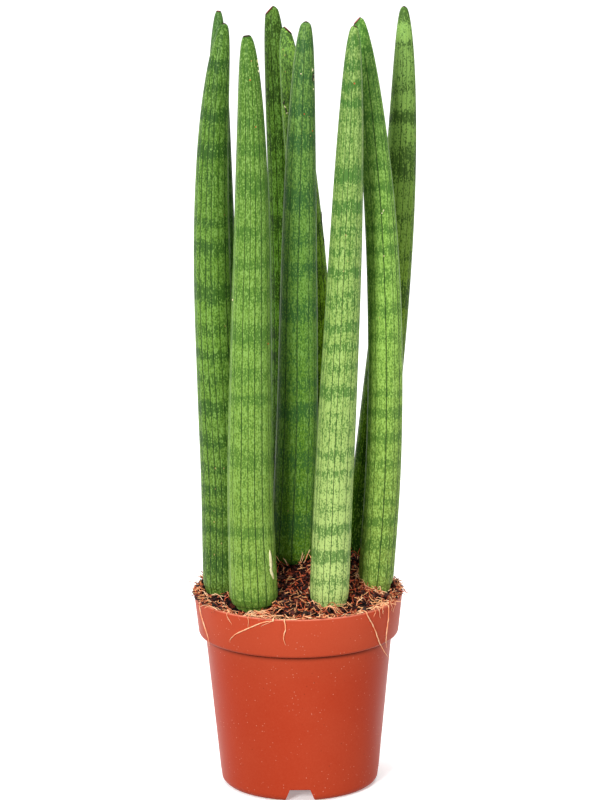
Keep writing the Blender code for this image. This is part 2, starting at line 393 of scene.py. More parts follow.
def flowing(points: np.ndarray, at: np.ndarray) -> np.ndarray:
    """Read a smooth curve through the rows of a table.

    Args:
        points: The rows to pass through.
        at: Row numbers with fractions.

    Returns:
        One row for each number.
    """
    last = len(points) - 1
    start = np.clip(np.floor(at).astype(int), 0, last - 1)
    share = (at - start)[:, None]
    before, first = points[np.maximum(start - 1, 0)], points[start]
    second, after = points[start + 1], points[np.minimum(start + 2, last)]
    leave, reach = (second - before) / 2.0, (after - first) / 2.0
    square, cube = share ** 2, share ** 3
    return (first * (2 * cube - 3 * square + 1) + leave * (cube - 2 * square + share)
            + second * (3 * square - 2 * cube) + reach * (cube - square))


def cad_points(node: str) -> np.ndarray:
    """Return the vertices of a CAD node as rows of x, y and z."""
    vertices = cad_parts[node].data.vertices
    flat = np.empty(len(vertices) * 3)
    vertices.foreach_get("co", flat)
    return flat.reshape(-1, 3)


def add_object(name: str, data: bpy.types.ID) -> bpy.types.Object:
    """Put a new object that holds the given data in the scene."""
    made = bpy.data.objects.new(name, data)
    bpy.context.scene.collection.objects.link(made)
    return made


def plain_mesh(name: str, bm: bmesh.types.BMesh) -> bpy.types.Mesh:
    """Turn a bmesh into a mesh as it is, and free it."""
    mesh = bpy.data.meshes.new(name)
    bm.to_mesh(mesh)
    bm.free()
    return mesh


def around(reach: float, bearing: float) -> tuple[float, float]:
    """Return x and y at a distance and a bearing in radians from the pot's axis."""
    return reach * math.cos(bearing), reach * math.sin(bearing)


def show(name: str, mesh: bpy.types.Mesh, material: bpy.types.Material) -> bpy.types.Object:
    """Put a finished mesh in the scene as a piece of the plant.

    Args:
        name: The piece's name.
        mesh: Its mesh, in the part's own frame.
        material: Its looks.

    Returns:
        The new piece.
    """
    piece = add_object(name, mesh)
    mesh.materials.clear()
    mesh.materials.append(material)
    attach(piece, BODY)
    LOG.info("%s: %d faces", name, len(mesh.polygons))
    return piece


def mesh_of(name: str, bm: bmesh.types.BMesh, sharp: float = 180.0) -> bpy.types.Mesh:
    """Turn a bmesh into a mesh with smooth faces and sharp edges.

    Args:
        name: The mesh's name.
        bm: The shape, which is freed.
        sharp: Angle in degrees past which an edge is sharp.

    Returns:
        The mesh.
    """
    for face in bm.faces:
        face.smooth = True
    mesh = plain_mesh(name, bm)
    mesh.set_sharp_from_angle(angle=math.radians(sharp))
    return mesh


@dataclass
class Leaf:
    """One leaf, shaped round the spine of its CAD solid.

    Attributes:
        node: The CAD node that it stands for.
        slot: The record's material slot; not used.
        skin: Its looks.
        ribs: How many ribs run round it.
        first_rib: Bearing of a rib's edge, in degrees from +X.
        channel: Bearing of the shallow channel, in degrees from +X.
        cut: Bearing that the cut tip faces and its slope, both in degrees, and how far
            below the top it crosses the middle; or None for a whole, round tip.
        plump: How far the foot keeps the full girth as it enters the mix, from 0 to 1.
        dome: Height of the round tip, in radii of its end.
        sides: Faces round the leaf.
        rings: Cuts along it.
        channel_width: Half width of the channel in radians.
        channel_depth, flute: Depth of the channel and of the rib edges, in radii.
    """

    node: str
    slot: Slot
    skin: LeafSkin
    ribs: int
    first_rib: float
    channel: float
    cut: tuple[float, float, float] | None
    plump: float = 0.0
    dome: float = 1.1
    sides: int = 96
    rings: int = 120
    channel_width: float = 0.62
    channel_depth: float = 0.055
    flute: float = 0.010

    def spine(self) -> np.ndarray:
        """Return centre, height and radius of each ring of the CAD solid."""
        points = cad_points(self.node)
        levels = np.round(points[:, 2], 5)
        rows = []
        for level in np.unique(levels):
            ring = np.unique(np.round(points[levels == level], 6), axis=0)
            centre = ring.mean(axis=0)
            reach = np.linalg.norm(ring[:, :2] - centre[:2], axis=1).mean()
            rows.append((centre[0], centre[1], level, reach))
        return np.array(rows)

    def rib_edges(self) -> np.ndarray:
        """Return the bearings of the rib edges over one full turn."""
        draw = random.Random(self.node)
        places = [step + draw.uniform(-0.22, 0.22) for step in range(self.ribs)]
        return np.array([*places, places[0] + self.ribs]) * math.tau / self.ribs

    def rib_number(self, bearing: float, height: float, edges: np.ndarray) -> float:
        """Count the ribs up to a bearing.

        Args:
            bearing: Angle from +X in radians.
            height: Height on the leaf.
            edges: Bearings of the rib edges.

        Returns:
            The number of whole ribs and the share of the next.
        """
        sway = 0.10 * noise.noise(Vector((self.skin.seed, height * 9.0, 0.0)))
        turned = bearing - math.radians(self.first_rib) + sway + 2 * math.tau
        rounds, rest = divmod(turned - edges[0], math.tau)
        return rounds * self.ribs + float(np.interp(rest + edges[0], edges,
                                                    np.arange(self.ribs + 1)))

    def channel_angle(self, bearing: float) -> float:
        """Return the angle between a bearing and the middle of the channel."""
        return (bearing - math.radians(self.channel) + math.pi) % math.tau - math.pi

    def girth(self, bearing: float, height: float, number: float) -> float:
        """Return the share of the round radius that the leaf has at a bearing."""
        off = abs(self.channel_angle(bearing)) / self.channel_width
        dip = self.channel_depth * (0.5 + 0.5 * math.cos(math.pi * min(off, 1.0)))
        lump = noise.noise(Vector((math.cos(bearing) * 0.6, math.sin(bearing) * 0.6,
                                   height * 22.0 + self.skin.seed)))
        return 1.0 - dip - self.flute * (0.5 + 0.5 * math.cos(math.tau * number)) + lump * 0.014

    def surface(self, bearing: float, height: float) -> tuple[Vector, Vector]:
        """Return a point of the skin, and the way out from the leaf's middle there.

        Args:
            bearing: Angle from +X in degrees.
            height: Height on the leaf.

        Returns:
            The point and the direction.
        """
        rows = self.spine()
        middle_x, middle_y, radius = (float(np.interp(height, rows[:, 2], rows[:, column]))
                                      for column in (0, 1, 3))
        turn = math.radians(bearing)
        outward = Vector((math.cos(turn), math.sin(turn), 0.0))
        reach = radius * self.girth(turn, height, 0.5)
        return Vector((middle_x, middle_y, height)) + outward * reach, outward

    def cut_tip(self, bm: bmesh.types.BMesh, top: Vector,
                chart: bmesh.types.BMLayerItem) -> None:
        """Slice the tip off where it was cut, and chart the distance from the cut.

        Args:
            bm: The leaf.
            top: The middle of its uncut tip.
            chart: The UV map whose second value is the distance.
        """
        if self.cut is None:
            return
        bearing, slope = math.radians(self.cut[0]), math.radians(self.cut[1])
        facing = Vector((math.cos(bearing) * math.sin(slope),
                         math.sin(bearing) * math.sin(slope), math.cos(slope)))
        through = top - Vector((0.0, 0.0, self.cut[2]))
        bmesh.ops.bisect_plane(bm, geom=[*bm.verts, *bm.edges, *bm.faces], dist=WELD,
                               plane_co=through, plane_no=facing, clear_outer=True)
        bmesh.ops.holes_fill(bm, edges=[edge for edge in bm.edges if edge.is_boundary])
        for face in bm.faces:
            for loop in face.loops:
                depth = (through - loop.vert.co).dot(facing)
                loop[chart].uv = (loop[chart].uv.x, depth)

    def build(self) -> bpy.types.Object:
        """Model and dress the leaf.

        Returns:
            The leaf, which stands for its CAD node.
        """
        rows = self.spine()
        low, high = rows[0, 2], rows[-1, 2]
        edges = self.rib_edges()
        bm = bmesh.new()
        bmesh.ops.create_cone(bm, cap_ends=True, segments=self.sides, radius1=1.0,
                              radius2=1.0, depth=1.0)
        uprights = [edge for edge in bm.edges
                    if abs(edge.verts[0].co.z - edge.verts[1].co.z) > 0.5]
        bmesh.ops.subdivide_edges(bm, edges=uprights, cuts=self.rings)
        stations = np.array([(vert.co.z + 0.5) * (len(rows) - 1) for vert in bm.verts])
        path = flowing(rows, stations)
        charts = [bm.loops.layers.uv.new(name) for name in ("ribs", "channel")]
        bearings = []
        for vert, (mid_x, mid_y, height, radius) in zip(bm.verts, path):
            bearing = math.atan2(vert.co.y, vert.co.x) % math.tau
            bearings.append(bearing)
            number = self.rib_number(bearing, height, edges)
            if height < rows[4, 2]:
                radius += self.plump * (rows[4, 3] - radius)
            dome = min(max((height - high) / (rows[-1, 3] * self.dome) + 1.0, 0.0), 0.98)
            reach = max(radius, 0.0) * self.girth(bearing, height, number)
            reach *= math.sqrt(1.0 - dome * dome)
            side, back = reach * math.cos(bearing), reach * math.sin(bearing)
            vert.co = (mid_x + side, mid_y + back, height)
        bm.verts.index_update()
        for face in bm.faces:
            turns = [bearings[loop.vert.index] for loop in face.loops]
            wraps = max(turns) - min(turns) > math.pi and len(turns) < 5
            for loop, turn in zip(face.loops, turns):
                if wraps and turn < math.pi:
                    turn += math.tau
                height = path[loop.vert.index][2]
                radius = path[loop.vert.index][3]
                number = self.rib_number(turn, height, edges)
                off = abs(self.channel_angle(turn)) - self.channel_width
                loop[charts[0]].uv = (number, height)
                loop[charts[1]].uv = (off * radius, high - loop.vert.co.z)
        self.cut_tip(bm, Vector(rows[-1, :3]), charts[1])
        mesh = mesh_of(self.node + "_skin", bm, 40.0)
        material = self.skin.material(self.node + "_skin", self.ribs, low, high)
        piece = show(self.node + "_skin", mesh, material)
        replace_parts(piece, self.node)
        return piece


class Crust(Enum):
    """Shades of a dried speck or tear on a leaf."""

    CREAM = "cream"
    AMBER = "amber"
    SOOT = "soot"


CRUSTS = {
    Crust.CREAM: (paint(0.96, 0.94, 0.76), paint(0.80, 0.76, 0.50)),
    Crust.AMBER: (paint(0.88, 0.42, 0.20), paint(0.62, 0.24, 0.12)),
    Crust.SOOT: (paint(0.22, 0.17, 0.15), paint(0.10, 0.09, 0.06)),
}


@dataclass(frozen=True)
class Scar:
    """A dried speck or tear on a leaf.

    Attributes:
        crust: Its shade.
        bearing: Where it is round the leaf, in degrees from +X.
        height: How high it is.
        length: Its length up the leaf.
        width: Its width round the leaf.
        lean: How far its top leans to the right, in degrees.
    """

    crust: Crust
    bearing: float
    height: float
    length: float = 0.0009
    width: float = 0.0008
    lean: float = 0.0


@dataclass
class Scars:
    """The small blemishes of all the leaves, listed by the leaf's CAD node."""

    leaves: Sequence[Leaf]
    scars: dict[str, Sequence[Scar]]
    thickness: float = 0.00035

    def scab(self, bm: bmesh.types.BMesh, scar: Scar, leaf: Leaf) -> None:
        """Add one flat ragged scab that lies in a leaf's skin."""
        draw = random.Random(scar.height * 1000.0)
        point, outward = leaf.surface(scar.bearing, scar.height)
        up = Vector((0.0, 0.0, 1.0))
        side = up.cross(outward)
        facing = Matrix((side, up, outward)).transposed().to_4x4()
        place = (Matrix.Translation(point) @ facing
                 @ Matrix.Rotation(-math.radians(scar.lean), 4, "Z")
                 @ Matrix.Diagonal((scar.width / 2, scar.length / 2, self.thickness, 1.0)))
        made = bmesh.ops.create_icosphere(bm, subdivisions=2, radius=1.0)
        for vert in made["verts"]:
            vert.co *= draw.uniform(0.78, 1.1)
            vert.co = place @ vert.co

    def build(self) -> None:
        """Model and dress the scabs, one piece for each shade."""
        leaves = {leaf.node: leaf for leaf in self.leaves}
        for crust, (pale, deep) in CRUSTS.items():
            bm = bmesh.new()
            for node, scars in self.scars.items():
                for scar in scars:
                    if scar.crust is crust:
                        self.scab(bm, scar, leaves[node])
            name = f"leaf_scars_{crust.value}"
            show(name, mesh_of(name, bm), FibreFinish(pale, deep).material(name))


@dataclass(frozen=True)
class PotPlastic:
    """Moulded terracotta-coloured plastic with a little dust, and with painted light and shade: a
    lighter upper part, a painted highlight on the lip and a painted shadow under the rim's band.

    Attributes:
        colour: The plastic.
        dust_and_painted_light: The plastic under a film of dust; it also serves as painted light on
            the upper part of the pot.
    """

    colour: Colour = paint(0.70, 0.235, 0.13)
    dust_and_painted_light: Colour = paint(0.80, 0.38, 0.26)

    def material(self, under: float, top: float) -> bpy.types.Material:
        """Make the material.

        Args:
            under: Height of the underside of the rim's band.
            top: Height of the lip.

        Returns:
            The finished material.
        """
        graph = Graph("terracotta_plastic", roughness=0.42, specular=0.06)
        place = graph.place()
        cloud = graph.noise(place, 26.0, 3.0)
        film = cloud.rise(0.35, 0.8)
        fine = graph.noise(place, 900.0, 3.0)
        dust = graph.specks(place, 420.0, 0.16) * graph.noise(place, 120.0).rise(0.42, 0.6)
        grit = graph.specks(graph.stretched(place, (1.0, 1.0, 0.9)), 230.0, 0.085)
        height = graph.node("ShaderNodeSeparateXYZ", {}, {0: place}, "Z")
        # Painted light: from a little under the rim's band upwards the plastic is lightened towards
        # the dust colour.
        painted_upper_light = height.rise(under - 0.020, under + 0.010)
        skin = graph.blend(film * 0.12 + painted_upper_light * 0.26, self.colour, self.dust_and_painted_light)
        skin = graph.blend(fine.rise(0.3, 0.8) * 0.10, skin, self.dust_and_painted_light)
        skin = graph.blend(dust * 0.5, skin, paint(0.90, 0.62, 0.52))
        skin = graph.blend(grit * cloud.rise(0.48, 0.6) * 0.6, skin, paint(0.42, 0.16, 0.10))
        # Painted highlight: a pale band along the top of the lip, where its rounded edge would catch
        # the light.
        lip = height.rise(top - 0.0008, top - 0.0001)
        skin = graph.blend(lip * 0.45, skin, paint(0.92, 0.60, 0.50))
        # Painted shadow: a dark band just under the rim's band, fading downward, where the band
        # would shade the wall.
        below = height.rise(under - 0.0045, under - 0.0002)
        painted_band_shadow = below * below * height.fall(under, under + 0.0003)
        skin = graph.blend(painted_band_shadow * (0.62 + fine * 0.4), skin, paint(0.20, 0.05, 0.03))
        graph.feed("Base Color", skin)
        graph.feed("Roughness", 0.36 + film * 0.12 + dust * 0.25)
        graph.emboss(fine * 0.5 + dust * 0.5, 0.00008, 0.6)
        return graph.material


@dataclass
class NurseryPot:
    """The round tapered pot with its stepped rim and drain channels."""

    band_height: float = 0.0235
    band_step: float = 0.0039
    rim_taper: float = 0.0023
    body_taper: float = 0.0083
    band_round: float = 0.0019
    base_round: float = 0.0045
    lip_round: float = 0.0006
    body_wall: float = 0.0012
    rim_wall: float = 0.0015
    channel_count: int = 4
    channel_length: float = 0.022
    channel_height: float = 0.0078
    channel_mouth: float = 0.0165
    channel_roof: float = 0.0125
    channel_round: float = 0.0012
    channel_flare: float = 0.0014
    drain_radius: float = 0.003
    drain_inset: float = 0.011
    cut_past: float = 0.002
    cut_below: float = 0.001
    cavity_top: float = 0.12
    steps: int = 180

    def __post_init__(self) -> None:
        """Take the height and the rim's radius from the CAD pot."""
        low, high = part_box("pot")
        self.height = high.z
        self.rim_radius = (high.x - low.x) / 2.0
        self.band_radius = self.rim_radius - self.rim_taper
        self.neck_radius = self.band_radius - self.band_step
        self.base_radius = self.neck_radius - self.body_taper
        self.mouth_radius = self.rim_radius - self.rim_wall

    def arc(self, radius: float, height: float, turn: float, start: float,
            stop: float) -> list[tuple[float, float]]:
        """Return points on a quarter circle, as radius and height.

        Args:
            radius, height: Its centre.
            turn: Its own radius.
            start, stop: Angles in degrees from straight out.

        Returns:
            Seven points.
        """
        angles = [math.radians(start + (stop - start) * step / 6) for step in range(7)]
        return [(radius + turn * math.cos(angle), height + turn * math.sin(angle))
                for angle in angles]

    def outside(self) -> list[tuple[float, float]]:
        """Return the outer profile, from the middle of the underside to the lip."""
        under = self.height - self.band_height
        return [
            (0.0, 0.0),
            *self.arc(self.base_radius - self.base_round, self.base_round,
                      self.base_round, -90, 0),
            (self.neck_radius, under),
            *self.arc(self.band_radius - self.band_round, under + self.band_round,
                      self.band_round, -90, 0),
            *self.arc(self.rim_radius - self.lip_round, self.height - self.lip_round,
                      self.lip_round, 0, 90),
        ]

    def inside(self) -> list[tuple[float, float]]:
        """Return the inner profile, from the middle of the floor up to the mouth."""
        under = self.height - self.band_height
        inner_lip = self.lip_round * 0.8
        return [
            (0.0, self.body_wall),
            *self.arc(self.base_radius - self.base_round, self.base_round,
                      self.base_round - self.body_wall, -90, 0),
            (self.neck_radius - self.body_wall, under + self.rim_wall),
            *self.arc(self.band_radius - self.band_round, under + self.band_round,
                      self.band_round - self.rim_wall, -90, 0),
            *self.arc(self.mouth_radius + inner_lip, self.height - inner_lip, inner_lip,
                      180, 90),
        ]

    def channels(self, grow: float) -> bmesh.types.BMesh:
        """Return closed wedges in the shape of the drain channels, grown on all sides."""
        bm = bmesh.new()
        mouth, roof = self.channel_mouth / 2 + grow, self.channel_roof / 2 + grow
        turn, top = self.channel_round + grow, self.channel_height + grow
        flare = self.channel_flare
        half = [(mouth + flare, -self.cut_below), (mouth + flare, 0.0),
                *self.arc(mouth + flare, flare, flare, -100, -180),
                *self.arc(roof - turn, top - turn, turn, 0, 90)]
        outline = half + [(-side, height) for side, height in reversed(half)]
        length = self.channel_length + grow
        for index in range(self.channel_count):
            facing = Matrix.Rotation(math.tau * index / self.channel_count, 3, "Z")
            start = facing @ Vector((0.0, length - self.base_radius, 0.0))
            face = bm.faces.new([bm.verts.new(facing @ Vector((side, 0.0, height)) + start)
                                 for side, height in outline])
            grown = bmesh.ops.extrude_face_region(bm, geom=[face], use_keep_orig=True)
            moved = [item for item in grown["geom"] if isinstance(item, bmesh.types.BMVert)]
            run = Vector((0.0, -length - self.cut_past, 0.0))
            bmesh.ops.translate(bm, verts=moved, vec=facing @ run)
        bmesh.ops.recalc_face_normals(bm, faces=bm.faces)
        return bm

    def drains(self) -> bmesh.types.BMesh:
        """Return closed upright cylinders, one through the roof of each channel."""
        bm = bmesh.new()
        low, high = self.channel_height / 2, self.channel_height + self.body_wall * 2
        for index in range(self.channel_count):
            facing = Matrix.Rotation(math.tau * index / self.channel_count, 4, "Z")
            place = Matrix.Translation((0.0, self.drain_inset - self.base_radius,
                                        (low + high) / 2))
            bmesh.ops.create_cone(bm, cap_ends=True, segments=32, radius1=self.drain_radius,
                                  radius2=self.drain_radius, depth=high - low,
                                  matrix=facing @ place)
        return bm

    def spun(self, profile: Sequence[tuple[float, float]]) -> bmesh.types.BMesh:
        """Spin a profile round the pot's axis into a closed body."""
        bm = bmesh.new()
        verts = [bm.verts.new((radius, 0.0, height)) for radius, height in profile]
        edges = [bm.edges.new(pair) for pair in zip(verts, verts[1:])]
        bmesh.ops.spin(bm, geom=verts + edges, cent=(0, 0, 0), axis=(0, 0, 1),
                       angle=math.tau, steps=self.steps, use_merge=True)
        bmesh.ops.remove_doubles(bm, verts=bm.verts, dist=WELD)
        bmesh.ops.recalc_face_normals(bm, faces=bm.faces)
        return bm

    def build(self) -> bpy.types.Object:
        """Model and dress the pot.

        Returns:
            The pot, which stands for its CAD node.
        """
        mouth = (self.mouth_radius, self.height)
        body = self.spun(self.outside() + [(0.0, self.height)])
        cavity = self.spun([*self.inside()[:-1], mouth, (self.mouth_radius, self.cavity_top),
                            (0.0, self.cavity_top)])
        cavity = carve(cavity, "walls", self.channels(self.body_wall))
        solid = carve(body, "cavity", cavity)
        solid = carve(solid, "channels", self.channels(0.0))
        solid = carve(solid, "drains", self.drains())
        looks = PotPlastic().material(self.height - self.band_height, self.height)
        piece = show("nursery_pot", mesh_of("nursery_pot", solid, 32.0), looks)
        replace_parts(piece, "pot")
        return piece


def carve(body: bmesh.types.BMesh, name: str, cutter: bmesh.types.BMesh) -> bmesh.types.BMesh:
    """Cut one closed shape out of another.

    Args:
        body: The shape to cut, which is freed.
        name: Name for the cut.
        cutter: The shape to take away, which is freed.

    Returns:
        The cut shape.
    """
    held = []
    for label, bm in ((name + "_body", body), (name + "_cutter", cutter)):
        held.append(add_object(label, plain_mesh(label, bm)))
    cut = held[0].modifiers.new(name, "BOOLEAN")
    cut.solver = "EXACT"
    cut.object = held[1]
    result = bpy.data.meshes.new_from_object(
        held[0].evaluated_get(bpy.context.evaluated_depsgraph_get()))
    bm = bmesh.new()
    bm.from_mesh(result)
    bpy.data.meshes.remove(result)
    for holder in held:
        bpy.data.objects.remove(holder)
    return bm


@dataclass(frozen=True)
class BarkFinish:
    """Looks of bark, coir and peat.

    Attributes:
        dark_peat_and_gap_shade: Near-black peat and bark, dark enough to stand as painted shade in
            the gaps between the loose bits.
        brown: The common bark.
        red: Freshly broken bark.
        tan: Dry fibre and inner bark.
    """

    dark_peat_and_gap_shade: Colour = paint(0.04, 0.018, 0.018)
    brown: Colour = paint(0.32, 0.12, 0.085)
    red: Colour = paint(0.84, 0.36, 0.20)
    tan: Colour = paint(1.0, 0.74, 0.50)

    def ground(self) -> bpy.types.Material:
        """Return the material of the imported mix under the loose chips."""
        graph = Graph("packed_mix", roughness=0.95, specular=0.15)
        place = graph.place()
        crumbs = graph.cell_tone(place, 620.0)
        grain = graph.noise(place, 1300.0, 3.0)
        threads = graph.streaks(place, (900.0, 250.0, 600.0), 2.0)
        # The near-black stop is partly painted shade: the mix shows through the gaps between the
        # loose bits as if in shadow.
        skin = graph.ramp(crumbs * 0.6 + grain * 0.5, (
            (0.58, self.dark_peat_and_gap_shade), (1.0, self.red), (0.82, self.brown)))
        skin = graph.blend(threads.rise(0.68, 0.74) * 0.3, skin, self.red)
        graph.feed("Base Color", skin)
        graph.emboss(crumbs * 0.6 + grain * 0.6, 0.0010)
        return graph.material

    def loose(self) -> bpy.types.Material:
        """Return the material of the loose bits, each with a tone of its own."""
        graph = Graph("loose_bark", roughness=0.8, specular=0.4)
        tone, sheen = graph.chart("tone")
        place = graph.place()
        fibre = graph.streaks(place, (500.0, 500.0, 1700.0), 3.0)
        grain = graph.noise(place, 1500.0, 3.0)
        skin = graph.ramp(tone + fibre * 0.34 - 0.17, (
            (0.05, self.dark_peat_and_gap_shade), (1.0, self.tan), (0.4, self.brown), (0.72, self.red)))
        skin = graph.blend(grain.fall(0.34, 0.5) * 0.5, skin, self.dark_peat_and_gap_shade)
        graph.feed("Base Color", skin)
        graph.feed("Roughness", 0.9 - sheen * 0.45)
        graph.emboss(fibre * 0.6 + grain * 0.4, 0.0005)
        return graph.material


@dataclass(frozen=True)
class FibreFinish:
    """Looks of dry roots and coir fibres.

    Attributes:
        pale, deep: The two ends of the colour's range.
    """

    pale: Colour
    deep: Colour

    def material(self, name: str) -> bpy.types.Material:
        """Return the finished material under the given name."""
        graph = Graph(name, roughness=0.75, specular=0.3)
        place = graph.place()
        patch = graph.noise(place, 260.0, 1.0)
        grain = graph.noise(place, 2200.0, 2.0)
        share = (patch.rise(0.3, 0.7) * 0.8 + grain.rise(0.4, 0.8) * 0.3).least(1.0)
        graph.feed("Base Color", graph.blend(share, self.pale, self.deep))
        graph.emboss(grain, 0.0001)
        return graph.material


FIBRES = {
    Tone.STRAW: FibreFinish(paint(1.0, 0.84, 0.66), paint(0.96, 0.56, 0.36)),
    Tone.RUST: FibreFinish(paint(0.80, 0.38, 0.22), paint(0.50, 0.18, 0.09)),
    Tone.UMBER: FibreFinish(paint(0.34, 0.17, 0.12), paint(0.14, 0.06, 0.05)),
}


class Strands:
    """Many thin tapered strands, which become one mesh."""

    def __init__(self, name: str, thickness: float) -> None:
        """Start an empty bundle.

        Args:
            name: Name of the piece.
            thickness: Radius of a strand where its share is 1.
        """
        self.name = name
        self.curve = bpy.data.curves.new(name, "CURVE")
        self.curve.dimensions = "3D"
        self.curve.bevel_depth = thickness
        self.curve.use_fill_caps = True

    def add(self, points: Sequence[Vector], shares: Sequence[float]) -> None:
        """Add one strand.

        Args:
            points: Where it runs.
            shares: Its thickness at each point.
        """
        spline = self.curve.splines.new("POLY")
        spline.points.add(len(points) - 1)
        for knot, point, share in zip(spline.points, points, shares):
            knot.co = (*point, 1.0)
            knot.radius = share

    def build(self, tone: Tone, slot: Slot, sides: int = 0) -> bpy.types.Object:
        """Turn the bundle into a mesh and dress it.

        Args:
            tone: Its shade.
            slot: The record's material slot; not used.
            sides: Resolution of the round section.

        Returns:
            The piece.
        """
        self.curve.bevel_resolution = sides
        holder = bpy.data.objects.new(self.name, self.curve)
        mesh = bpy.data.meshes.new_from_object(holder)
        bpy.data.objects.remove(holder)
        bpy.data.curves.remove(self.curve)
        mesh.shade_smooth()
        return show(self.name, mesh, FIBRES[tone].material(self.name))


@dataclass(frozen=True)
class Litter:
    """How one kind of loose bit lies on the mix.

    Attributes:
        length: Shortest and longest half length.
        width: Least and greatest half width, as a share of the half length if in_step.
        tone: Darkest, lightest and commonest tone.
        lift: Least and greatest height off the mix.
        tumble: Usual tilt in radians.
        roll: Share of a full turn about its own length.
        standoff: Distance to keep from a leaf, as a share of the half length.
        in_step: Whether the width follows the length.
    """

    length: tuple[float, float]
    width: tuple[float, float]
    tone: tuple[float, float, float]
    lift: tuple[float, float]
    tumble: float
    roll: float = 0.2
    standoff: float = 0.4
    in_step: bool = True


FLAKES = Litter((0.0016, 0.0036), (0.4, 0.75), (0.0, 0.4, 0.18), (0.0003, 0.0012), 0.3)
CRUMBS = Litter((0.0005, 0.0013), (0.45, 0.8), (0.0, 0.9, 0.2), (0.0, 0.0008), 0.6)
PEAT = Litter((0.0009, 0.0020), (0.00028, 0.00046), (0.0, 0.40, 0.15), (0.0, 0.0012), 0.4,
              1.0, 0.5, False)
SHREDS = Litter((0.0009, 0.0022), (0.00026, 0.00042), (0.3, 1.0, 0.66), (0.0010, 0.0028),
                0.45, 1.0, 0.5, False)
SPLINTERS = Litter((0.0011, 0.0026), (0.00020, 0.00032), (0.85, 1.15, 1.0), (0.0016, 0.0032),
                   0.5, 1.0, 0.6, False)


